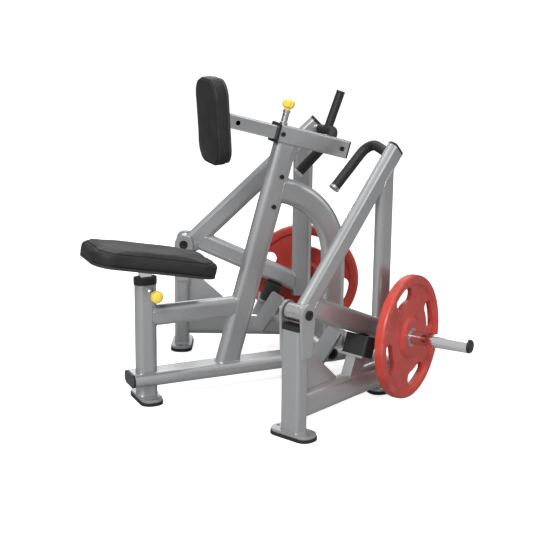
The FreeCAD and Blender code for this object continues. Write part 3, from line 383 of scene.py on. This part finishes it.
def side_vector(sign, u, v, w):
    """A direction given along, across and up one side frame, of length one."""
    turn = math.radians(TOE_IN)
    return Vector((u * math.cos(turn) + v * math.sin(turn),
                   sign * (-u * math.sin(turn) + v * math.cos(turn)), w)).normalized()


def new_object(name, verts, faces, material, smooth=True):
    mesh = bpy.data.meshes.new(name)
    mesh.from_pydata([tuple(v) for v in verts], [], faces)
    mesh.update()
    if smooth:
        for polygon in mesh.polygons:
            polygon.use_smooth = True
    obj = bpy.data.objects.new(name, mesh)
    bpy.context.scene.collection.objects.link(obj)
    obj.data.materials.append(material)
    return obj


def grid_faces(rows, around, base=0, wrap=False):
    """Quads between closed rows of points; wrap also joins the last row to the first."""
    faces = []
    for row in range(rows if wrap else rows - 1):
        here = base + row * around
        after = base + (row + 1) % rows * around
        for col in range(around):
            nxt = (col + 1) % around
            faces.append((here + col, here + nxt, after + nxt, after + col))
    return faces


def end_faces(rows, around, base=0):
    """The two faces that close the first row and the last."""
    last = base + (rows - 1) * around
    return [tuple(base + col for col in reversed(range(around))),
            tuple(last + col for col in range(around))]


def circle(centre, side, up, radius, around):
    """Points around a centre, in the plane of side and up."""
    points = []
    for turn in range(around):
        angle = 2 * math.pi * turn / around
        points.append(centre + (side * math.cos(angle) + up * math.sin(angle)) * radius)
    return points


def distances(line):
    """How far along the line each of its points lies."""
    lengths = [0.0]
    for here, there in zip(line, line[1:]):
        lengths.append(lengths[-1] + (there - here).length)
    return lengths


def resampled(line, lengths, steps, count):
    """The first count points of the line when it is cut into even steps."""
    spots = []
    index = 0
    for number in range(count):
        want = lengths[-1] * number / steps
        while index < len(line) - 2 and lengths[index + 1] < want:
            index += 1
        share = (want - lengths[index]) / max(1e-9, lengths[index + 1] - lengths[index])
        spots.append(line[index].lerp(line[index + 1], min(1.0, share)))
    return spots


def path_points(points, bend, step):
    """Even points with tangents and distances along straight runs joined by arcs."""
    arc_steps = 24
    line = [Vector(points[0])]
    for before, corner, after in zip(points, points[1:], points[2:]):
        inward = (before - corner).normalized()
        onward = (after - corner).normalized()
        half = inward.angle(onward) / 2
        reach = bend / math.tan(half)
        centre = corner + (inward + onward).normalized() * (bend / math.sin(half))
        first = corner + inward * reach - centre
        last = corner + onward * reach - centre
        for index in range(arc_steps + 1):
            line.append(centre + first.lerp(last, index / arc_steps).normalized() * bend)
    line.append(Vector(points[-1]))
    lengths = distances(line)
    total = lengths[-1]
    count = max(2, int(round(total / step)))
    spots = resampled(line, lengths, count, count + 1)
    stations = []
    for index, spot in enumerate(spots):
        tangent = (spots[min(count, index + 1)] - spots[max(0, index - 1)]).normalized()
        stations.append((spot, tangent, total * index / count))
    return stations


def swept(stations, radius_at, around):
    """Rings of points along stations; radius_at(distance, angle) gives each point's radius."""
    normal = stations[0][1].orthogonal().normalized()
    before = stations[0][1]
    rings = []
    for point, tangent, at in stations:
        normal = before.rotation_difference(tangent) @ normal
        before = tangent
        side = tangent.cross(normal).normalized()
        ring = []
        for index in range(around):
            angle = 2 * math.pi * index / around
            radius = radius_at(at, angle)
            ring.append(point + (normal * math.cos(angle) + side * math.sin(angle)) * radius)
        rings.append(ring)
    return rings


# ---------------------------------------------------------------- grips

def knurled_sleeve(name, points, bend, radius, node, body):
    """A rubber sleeve with a raised diamond pattern between two smooth collars."""
    around = 84
    pitch = 0.0075
    lip, lip_drop = 0.0016, 0.0011
    collar = 0.009
    groove, groove_depth = 0.0022, 0.0013
    valley_depth, tooth_height = 0.0012, 0.0011
    stations = path_points(points, bend, 0.0013)
    total = stations[-1][2]
    teeth = max(8, int(round(2 * math.pi * radius / pitch)))

    def radius_at(at, angle):
        edge = min(at, total - at)
        if edge < lip:
            return radius - lip_drop * (1 - edge / lip)
        if edge < collar:
            return radius
        if edge < collar + groove:
            return radius - groove_depth
        first = math.cos(teeth * angle + 2 * math.pi * at / pitch)
        second = math.cos(teeth * angle - 2 * math.pi * at / pitch)
        raised = max(0.0, min(1.0, 1.6 * (0.5 + 0.5 * min(first, second)) - 0.1))
        return radius - valley_depth + tooth_height * raised

    rings = swept(stations, radius_at, around)
    verts = [point for ring in rings for point in ring]
    faces = grid_faces(len(rings), around) + end_faces(len(rings), around)
    obj = new_object(name, verts, faces, GRIP)
    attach(obj, body)
    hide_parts(node)


def handle_points(sign):
    """The root, the elbow and the end of one handle's centre line."""
    points = [side_point(sign, HANDLE_U, 0.0, HANDLE_W)]
    for x, y, z in (HANDLE_FIRST_LEG, HANDLE_SECOND_LEG):
        points.append(points[-1] + Vector((x, sign * y, z)) * MM)
    return points


def grips():
    sleeve_start = 0.052
    ring_room = 0.009
    upright_at = 0.108
    upright_from, upright_to = 0.012, 0.158
    for sign, word in ((1, "left"), (-1, "right")):
        root, elbow, end = handle_points(sign)
        inward = (elbow - root).normalized()
        leg = (end - elbow).normalized()
        points = [root + inward * sleeve_start, elbow, end - leg * ring_room]
        knurled_sleeve("grip_sleeve_" + word, points, HANDLE_BEND * MM, GRIP_RADIUS * MM,
                       "lever_%s_grip" % word, "lever_" + word)
    root, elbow, end = handle_points(1)
    foot = root + (elbow - root).normalized() * upright_at
    lean = Vector(UPRIGHT_GRIP_LEAN).normalized()
    points = [foot + lean * upright_from, foot + lean * upright_to]
    knurled_sleeve("upright_grip_sleeve", points, 0.0, UPRIGHT_GRIP_RADIUS * MM,
                   "lever_left_upright_grip", "lever_left")


# ---------------------------------------------------------------- pads

def local_box(node, rotation):
    """The node's box in a turned frame, as the low and high corners there."""
    inverse = rotation.inverted()
    points = np.array([tuple(inverse @ v.co) for v in NODES[node].data.vertices])
    return points.min(0), points.max(0)


def rounded_outline(half_x, half_y, corner):
    """Points around a rectangle with round corners, its straight sides cut into short steps."""
    corner_steps = 14
    side_step = 0.012
    outline = []
    for cx, cy, start in ((1, 1, 0), (-1, 1, 90), (-1, -1, 180), (1, -1, 270)):
        for index in range(corner_steps + 1):
            angle = math.radians(start + 90.0 * index / corner_steps)
            outline.append(Vector((cx * (half_x - corner) + corner * math.cos(angle),
                                   cy * (half_y - corner) + corner * math.sin(angle), 0)))
    dense = []
    for here, there in zip(outline, outline[1:] + outline[:1]):
        pieces = max(1, int((there - here).length / side_step))
        for index in range(pieces):
            dense.append(here.lerp(there, index / pieces))
    return dense


def pad_mesh(length, width, thick, corner, crown, inset):
    """A closed pad blank: x along, y across, z up from its base, crowned on top with soft edges."""
    edge = 0.020
    edge_steps = 6
    dense = rounded_outline(length / 2 - inset, width / 2 - inset, corner - inset)
    count = len(dense)
    height = thick - inset
    rings = []
    for share in (0.25, 0.5, 0.75, 0.94, 1.0):
        rings.append([Vector((p.x * share, p.y * share, 0.0)) for p in dense])
    rings.insert(0, [point * 0.02 for point in rings[0]])
    for rise in (0.12, 0.3, 0.5, 0.64):
        rings.append([Vector((p.x, p.y, rise * height)) for p in dense])
    for index in range(1, edge_steps + 1):
        angle = math.radians(90.0 * index / edge_steps)
        pull = edge * (1 - math.cos(angle))
        level = (1.0 - edge * (1 - math.sin(angle)) / thick) * height - crown
        ring = []
        for p in dense:
            away = p.normalized()
            ring.append(Vector((p.x - away.x * pull, p.y - away.y * pull, level)))
        rings.append(ring)
    rim = rings[-1]
    for share in (0.94, 0.85, 0.72, 0.55, 0.35, 0.15):
        lift = crown * (1 - share ** 2.4)
        rings.append([Vector((p.x * share, p.y * share, rim[0].z + lift)) for p in rim])
    verts = [point for ring in rings for point in ring]
    faces = grid_faces(len(rings), count)
    base = len(verts)
    verts.append(Vector((0, 0, 0)))
    peak = len(verts)
    verts.append(Vector((0, 0, rings[-1][0].z + crown * 0.004)))
    top = (len(rings) - 1) * count
    faces += [(top + col, top + (col + 1) % count, peak) for col in range(count)]
    faces += [((col + 1) % count, col, base) for col in range(count)]
    return verts, faces


def coordinates(mesh):
    """The mesh's points as an array of rows."""
    points = np.empty(len(mesh.vertices) * 3)
    mesh.vertices.foreach_get("co", points)
    return points.reshape(-1, 3)


def set_coordinates(mesh, points):
    mesh.vertices.foreach_set("co", points.ravel())
    mesh.update()


def apply_modifier(obj, modifier):
    with bpy.context.temp_override(object=obj, active_object=obj, selected_objects=[obj]):
        bpy.ops.object.modifier_apply(modifier=modifier.name)


def inflate(obj, pressure, cap):
    """Swell a closed mesh a little with cloth pressure, each point moving no further than cap."""
    voxel = 0.006
    held_height = 0.004
    frames = 14
    scene = bpy.context.scene
    bpy.context.view_layer.objects.active = obj
    remesh = obj.modifiers.new("remesh", "REMESH")
    remesh.mode = "VOXEL"
    remesh.voxel_size = voxel
    remesh.use_smooth_shade = True
    apply_modifier(obj, remesh)
    rest = coordinates(obj.data)
    held = obj.vertex_groups.new(name="held")
    low = [int(i) for i in np.nonzero(rest[:, 2] < rest[:, 2].min() + held_height)[0]]
    held.add(low, 1.0, "REPLACE")
    cloth = obj.modifiers.new("cloth", "CLOTH")
    cloth.settings.quality = 3
    cloth.settings.mass = 0.4
    cloth.settings.tension_stiffness = 22
    cloth.settings.compression_stiffness = 22
    cloth.settings.shear_stiffness = 12
    cloth.settings.bending_stiffness = 6
    cloth.settings.use_pressure = True
    cloth.settings.uniform_pressure_force = pressure
    cloth.settings.vertex_group_mass = "held"
    cloth.settings.effector_weights.gravity = 0
    cloth.collision_settings.use_collision = False
    cloth.point_cache.frame_start = 1
    cloth.point_cache.frame_end = frames
    for number in range(1, frames + 1):
        scene.frame_set(number)
    swollen = obj.evaluated_get(bpy.context.evaluated_depsgraph_get())
    moved = coordinates(swollen.to_mesh())
    swollen.to_mesh_clear()
    obj.modifiers.remove(cloth)
    scene.frame_set(1)
    shift = moved - rest
    reach = np.linalg.norm(shift, axis=1)
    scale = np.where(reach > cap, cap / np.maximum(reach, 1e-9), 1.0)
    set_coordinates(obj.data, rest + shift * scale[:, None])


def fit_inside(obj, low, high):
    """Scale the swollen pad so that it fills the CAD solid's box and no more."""
    points = coordinates(obj.data)
    have_low = points.min(0)
    have_high = points.max(0)
    set_coordinates(obj.data, low + (points - have_low) / (have_high - have_low) * (high - low))


def ripple(obj, seed, strength, edge_z):
    """Small pulls and puckers in the cover near its seams."""
    broad_scale, fine_scale = 26.0, 95.0
    pucker_reach = 0.016
    for vertex in obj.data.vertices:
        spot = vertex.co * broad_scale + Vector((seed, seed * 1.7, seed * 0.3))
        near = math.exp(-((vertex.co.z - edge_z) / pucker_reach) ** 2)
        pucker = noise.noise(vertex.co * fine_scale + Vector((seed, 0, 0))) * near * 0.6
        broad = noise.noise(spot) * 0.6
        vertex.co += vertex.normal * strength * (pucker + broad)


def seam_line(obj, height, half_x, half_y, offset):
    """Points on the pad's side at one height, found by looking inward from outside it."""
    steps = 420
    outside = 0.6
    square_on = 0.2
    tree = BVHTree.FromObject(obj, bpy.context.evaluated_depsgraph_get())
    longer = max(0.0, half_x - half_y)
    line = []
    for index in range(steps):
        angle = 2 * math.pi * index / steps
        out = Vector((math.cos(angle), math.sin(angle), 0))
        start = Vector((out.x * outside, out.y * outside, height))
        aim = Vector((out.x * longer if abs(out.x) > square_on else 0.0, 0, height))
        hit, normal, _, _ = tree.ray_cast(start, (aim - start).normalized())
        if hit is not None:
            line.append(hit + normal * offset)
    return line


def loop_frames(line, step):
    """The level closed line at even steps: each point with the ways along, out and up."""
    closed = line + [line[0]]
    lengths = distances(closed)
    count = int(lengths[-1] / step)
    spots = resampled(closed, lengths, count, count)
    frames = []
    for index, spot in enumerate(spots):
        tangent = (spots[(index + 1) % count] - spots[index - 1]).normalized()
        side = tangent.cross(Vector((0, 0, 1))).normalized()
        frames.append((spot, tangent, side, side.cross(tangent).normalized()))
    return frames


def welt(name, line, radius, material):
    """A thin cord sewn into the seam, closed on itself."""
    around = 10
    stations = loop_frames(line, 0.005)
    verts = []
    for spot, _, side, up in stations:
        verts += circle(spot, side, up, radius, around)
    return new_object(name, verts, grid_faces(len(stations), around, wrap=True), material)


def stitches(name, line, material):
    """A run of short thread stitches along the line."""
    around = 6
    profile = ((-0.0022, 0.0001), (-0.0014, 0.00042), (0.0, 0.00055), (0.0014, 0.00042), (0.0022, 0.0001))
    verts = []
    faces = []
    for spot, tangent, side, up in loop_frames(line, 0.0065):
        base = len(verts)
        for along, size in profile:
            verts += circle(spot + tangent * along, side, up, size, around)
        faces += grid_faces(len(profile), around, base) + end_faces(len(profile), around, base)
    return new_object(name, verts, faces, material)


def make_pad(name, node, body, rotation, corner, seam_share, seed):
    """One upholstered pad in place of its CAD solid, with a sewn welt and stitches."""
    crown = 0.012
    inset = 0.004
    above_board = 0.0006
    stitch_drop = 0.006
    low, high = local_box(node, rotation)
    size = high - low
    centre = (low + high) / 2
    origin = rotation @ Vector((centre[0], centre[1], low[2]))
    place = Matrix.Translation(origin) @ rotation.to_4x4()
    verts, faces = pad_mesh(size[0], size[1], size[2], corner, crown, inset)
    pad = new_object(name, verts, faces, VINYL)
    mesh = bmesh.new()
    mesh.from_mesh(pad.data)
    bmesh.ops.remove_doubles(mesh, verts=mesh.verts, dist=0.0004)
    bmesh.ops.recalc_face_normals(mesh, faces=mesh.faces)
    mesh.to_mesh(pad.data)
    mesh.free()
    inflate(pad, 3.2, 0.007)
    half_x = size[0] / 2
    half_y = size[1] / 2
    fit_inside(pad, np.array([-half_x, -half_y, above_board]), np.array([half_x, half_y, size[2]]))
    smooth = pad.modifiers.new("smooth", "SUBSURF")
    smooth.levels = 1
    smooth.render_levels = 1
    apply_modifier(pad, smooth)
    seam_z = size[2] * seam_share
    ripple(pad, seed, 0.0009, seam_z)
    for polygon in pad.data.polygons:
        polygon.use_smooth = True
    line = seam_line(pad, seam_z, half_x, half_y, 0.0004)
    cord = welt(name + "_welt", line, 0.0021, VINYL)
    lower = seam_line(pad, seam_z - stitch_drop, half_x, half_y, 0.0003)
    thread = stitches(name + "_stitches", lower, THREAD)
    for piece in (pad, cord, thread):
        piece.data.transform(place)
        piece.data.update()
        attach(piece, body)
    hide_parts(node)


def pads():
    tilt = math.radians(SEAT_TILT)
    along = Vector((math.cos(tilt), 0, -math.sin(tilt)))
    upward = Vector((math.sin(tilt), 0, math.cos(tilt)))
    seat_turn = Matrix((along, Vector((0, 1, 0)), upward)).transposed()
    make_pad("seat_cushion", "seat_pad", "seat", seat_turn, 0.070, 0.72, 3.1)
    lean = math.radians(CHEST_LEAN)
    face = Vector((-math.cos(lean), 0, -math.sin(lean)))
    up = Vector((-math.sin(lean), 0, math.cos(lean)))
    chest_turn = Matrix((up, face.cross(up), face)).transposed()
    make_pad("chest_cushion", "chest_pad", "chest_rest", chest_turn, 0.065, 0.70, 8.4)


# ---------------------------------------------------------------- weld beads

WELDS = [
    ("strut", "front_post"), ("strut", "main_upright"), ("main_upright", "base_tube"),
    ("front_post", "base_tube"), ("arc_tube", "main_upright"), ("arc_tube", "base_tube"),
    ("side_beam_left", "side_upright_left"), ("side_beam_right", "side_upright_right"),
    ("rear_cross_beam", "side_beam_left"), ("rear_cross_beam", "side_beam_right"),
    ("rear_legs", "rear_cross_beam"), ("rear_legs", "foot_plates"), ("front_post", "foot_plates"),
    ("side_upright_left", "foot_plates"), ("side_upright_right", "foot_plates"),
    ("lever_left_lower", "lever_left_arm"), ("lever_left_tail", "lever_left_arm"),
    ("lever_left_lower", "lever_left_tail"), ("lever_right_lower", "lever_right_arm"),
    ("lever_right_tail", "lever_right_arm"), ("lever_right_lower", "lever_right_tail"),
    ("lever_left_handle", "lever_left_arm"), ("lever_right_handle", "lever_right_arm"),
    ("foot_rest_bar", "base_tube"), ("main_upright", "rail_housing"),
]


def welded_mesh(node):
    """A copy of a node's mesh with its faces joined at their shared points."""
    mesh = bmesh.new()
    mesh.from_mesh(NODES[node].data)
    bmesh.ops.remove_doubles(mesh, verts=mesh.verts, dist=0.00002)
    return mesh


def contact_loops(node, other):
    """The sharp edges of one piece that lie on the surface of the other, chained into lines."""
    sharp = math.radians(28)
    touching, touching_middle = 0.00035, 0.0012
    mesh = welded_mesh(node)
    base = welded_mesh(other)
    tree = BVHTree.FromBMesh(base)
    near = {}

    def touches(vertex):
        if vertex.index not in near:
            found = tree.find_nearest(vertex.co, 0.002)
            near[vertex.index] = found[0] is not None and found[3] < touching
        return near[vertex.index]

    links = {}
    for edge in mesh.edges:
        if len(edge.link_faces) != 2 or edge.calc_face_angle(0.0) < sharp:
            continue
        first, last = edge.verts
        middle = tree.find_nearest((first.co + last.co) / 2, 0.003)
        lies_on = middle[0] is not None and middle[3] < touching_middle
        if touches(first) and touches(last) and lies_on:
            links.setdefault(first.index, []).append(last.index)
            links.setdefault(last.index, []).append(first.index)
    mesh.verts.ensure_lookup_table()
    places = {index: mesh.verts[index].co.copy() for index in links}
    lines = []
    while links:
        ends = [index for index, mates in links.items() if len(mates) == 1]
        here = min(ends) if ends else min(links)
        chain = [here]
        while links.get(here):
            there = links[here].pop(0)
            links[there].remove(here)
            if not links[here]:
                links.pop(here)
            chain.append(there)
            here = there
        if here in links and not links[here]:
            links.pop(here)
        if len(chain) > 1:
            lines.append([places[index] for index in chain])
    mesh.free()
    base.free()
    return lines


def bead(line, radius, verts, faces):
    """A rippled weld bead along a line, added to the lists."""
    shortest = 0.02
    step = 0.0014
    steps_per_ripple = 3.2
    around = 8
    lengths = distances(line)
    if lengths[-1] < shortest:
        return
    count = max(4, int(lengths[-1] / step))
    spots = resampled(line, lengths, count, count + 1)
    base = len(verts)
    side = None
    for number, spot in enumerate(spots):
        tangent = (spots[min(count, number + 1)] - spots[max(0, number - 1)]).normalized()
        if side is None:
            side = tangent.orthogonal().normalized()
        else:
            side = (side - tangent * side.dot(tangent)).normalized()
        size = radius * (0.86 + 0.2 * abs(math.sin(math.pi * number / steps_per_ripple)))
        verts += circle(spot, side, tangent.cross(side), size, around)
    faces += grid_faces(count + 1, around, base) + end_faces(count + 1, around, base)


def weld_beads():
    bodies = {}
    for node, other in WELDS:
        body = NODES[node]["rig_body"]
        verts, faces = bodies.setdefault(body, ([], []))
        for line in contact_loops(node, other):
            bead(line, 0.0024, verts, faces)
    for body, (verts, faces) in bodies.items():
        if not verts:
            continue
        obj = new_object("weld_beads_" + body, verts, faces, PAINT)
        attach(obj, body)


# ---------------------------------------------------------------- looks of the CAD nodes

def horn_axis(sign):
    """The direction of one weight horn, pointing outward."""
    tilt = math.radians(HORN_TILT)
    yaw = math.radians(HORN_YAW)
    flat = math.cos(tilt)
    return side_vector(sign, math.sin(yaw) * flat, math.cos(yaw) * flat, math.sin(tilt))


def dress_nodes():
    slots = {entry["node"]: entry["material_slot"] for entry in frame["record"]["subparts"]}
    for name, obj in NODES.items():
        if slots[name] == "red_plate":
            low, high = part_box(name)
            axis = horn_axis(1 if name.endswith("left") else -1)
            material = red_plate_material((low + high) / 2, axis)
        else:
            material = BY_SLOT[slots[name]]
        obj.data.materials.clear()
        obj.data.materials.append(material)


# ---------------------------------------------------------------- camera, floor and light

def camera():
    yaw = math.radians(65.26)
    pitch = math.radians(-15.46)
    roll = math.radians(0.76)
    place = Vector((-1937.0 + SHIFT_X, -4594.2, 1797.2)) * MM
    level = math.cos(pitch)
    forward = Vector((math.cos(yaw) * level, math.sin(yaw) * level, math.sin(pitch)))
    right = Vector((math.sin(yaw), -math.cos(yaw), 0))
    up = right.cross(forward)
    tilted_right = right * math.cos(roll) + up * math.sin(roll)
    tilted_up = up * math.cos(roll) - right * math.sin(roll)
    data = bpy.data.cameras.new("camera")
    data.sensor_width = 36.0
    data.lens = 89.723571
    data.clip_end = 100.0
    obj = bpy.data.objects.new("camera", data)
    bpy.context.scene.collection.objects.link(obj)
    turn = Matrix((tilted_right, tilted_up, forward * -1)).transposed()
    obj.matrix_world = Matrix.Translation(place) @ turn.to_4x4()
    bpy.context.scene.camera = obj


def pale_floor():
    """A wide floor, pale to the camera and mid grey to every other ray."""
    half = 30.0
    level = -0.0005
    look = Tree("pale_floor")
    seen = look.add("ShaderNodeLightPath").outputs["Is Camera Ray"]
    pale = look.mix(look.noise(0.6, 3.0), rgb(0.84, 0.84, 0.84), rgb(0.88, 0.88, 0.88))
    look.surface(Base_Color=look.mix(seen, rgb(0.4, 0.4, 0.4), pale), Roughness=0.7,
                 Emission_Color=rgb(1.0, 1.0, 1.0),
                 Emission_Strength=look.math("MULTIPLY", seen, 0.62))
    verts = [(-half, -half, level), (half, -half, level), (half, half, level), (-half, half, level)]
    floor = new_object("floor", verts, [(0, 1, 2, 3)], look.material, smooth=False)


def light(name, place, target, size, power):
    """A rectangular lamp at a place, turned towards its target."""
    data = bpy.data.lights.new(name, "AREA")
    data.shape = "RECTANGLE"
    data.size = size[0]
    data.size_y = size[1]
    data.energy = power
    obj = bpy.data.objects.new(name, data)
    bpy.context.scene.collection.objects.link(obj)
    obj.location = place
    obj.rotation_euler = (Vector(target) - Vector(place)).to_track_quat("-Z", "Y").to_euler()


def lights():
    light("key", (-2.6, -3.2, 3.6), (0.0, 0.0, 0.5), (1.5, 1.1), 200.0)
    light("fill", (3.4, -2.6, 2.2), (0.1, 0.0, 0.5), (2.2, 2.6), 26.0)
    light("top", (0.4, 0.6, 4.2), (0.0, 0.0, 0.3), (2.6, 2.6), 55.0)
    light("rim", (1.5, 4.0, 2.6), (0.0, 0.0, 0.6), (3.0, 1.8), 40.0)


def sky():
    """White behind the object; lit and mirrored as white on the near side, banded on the far side."""
    stops = ((0.0, 0.5), (0.49, 0.5), (0.5, 0.10), (0.60, 0.14), (0.67, 0.9), (0.82, 1.0), (1.0, 0.6))
    far_side = (0.5, 0.87, 0.0)
    world = bpy.data.worlds.new("studio")
    bpy.context.scene.world = world
    world.use_nodes = True
    tree = Nodes(world.node_tree, "Generated")
    split = tree.add("ShaderNodeSeparateXYZ")
    tree.put(tree.place, split.inputs[0])
    ramp = tree.add("ShaderNodeValToRGB")
    tree.put(tree.spread(split.outputs["Z"], -1.0, 1.0), ramp.inputs["Fac"])
    while len(ramp.color_ramp.elements) < len(stops):
        ramp.color_ramp.elements.new(0.5)
    for element, (at, value) in zip(ramp.color_ramp.elements, stops):
        element.position = at
        element.color = rgb(value, value, value * 1.01)
    far = tree.add("ShaderNodeVectorMath", operation="DOT_PRODUCT")
    tree.put(tree.place, far.inputs[0])
    tree.put(far_side, far.inputs[1])
    white = rgb(1.0, 1.0, 1.0)
    banded = tree.mix(tree.spread(far.outputs["Value"], -0.25, 0.35), white, ramp.outputs["Color"])
    choose = tree.add("ShaderNodeMixShader")
    seen = tree.add("ShaderNodeLightPath").outputs["Is Camera Ray"]
    tree.put(seen, choose.inputs["Fac"])
    for socket, color, strength in ((1, banded, 0.62), (2, white, 1.05)):
        background = tree.add("ShaderNodeBackground")
        tree.put(color, background.inputs["Color"])
        tree.put(strength, background.inputs["Strength"])
        tree.put(background.outputs[0], choose.inputs[socket])
    output = tree.add("ShaderNodeOutputWorld")
    tree.put(choose.outputs[0], output.inputs["Surface"])


def studio():
    pale_floor()
    lights()
    sky()
    bpy.context.scene.view_settings.view_transform = "Standard"


dress_nodes()
grips()
pads()
weld_beads()
camera()
studio()
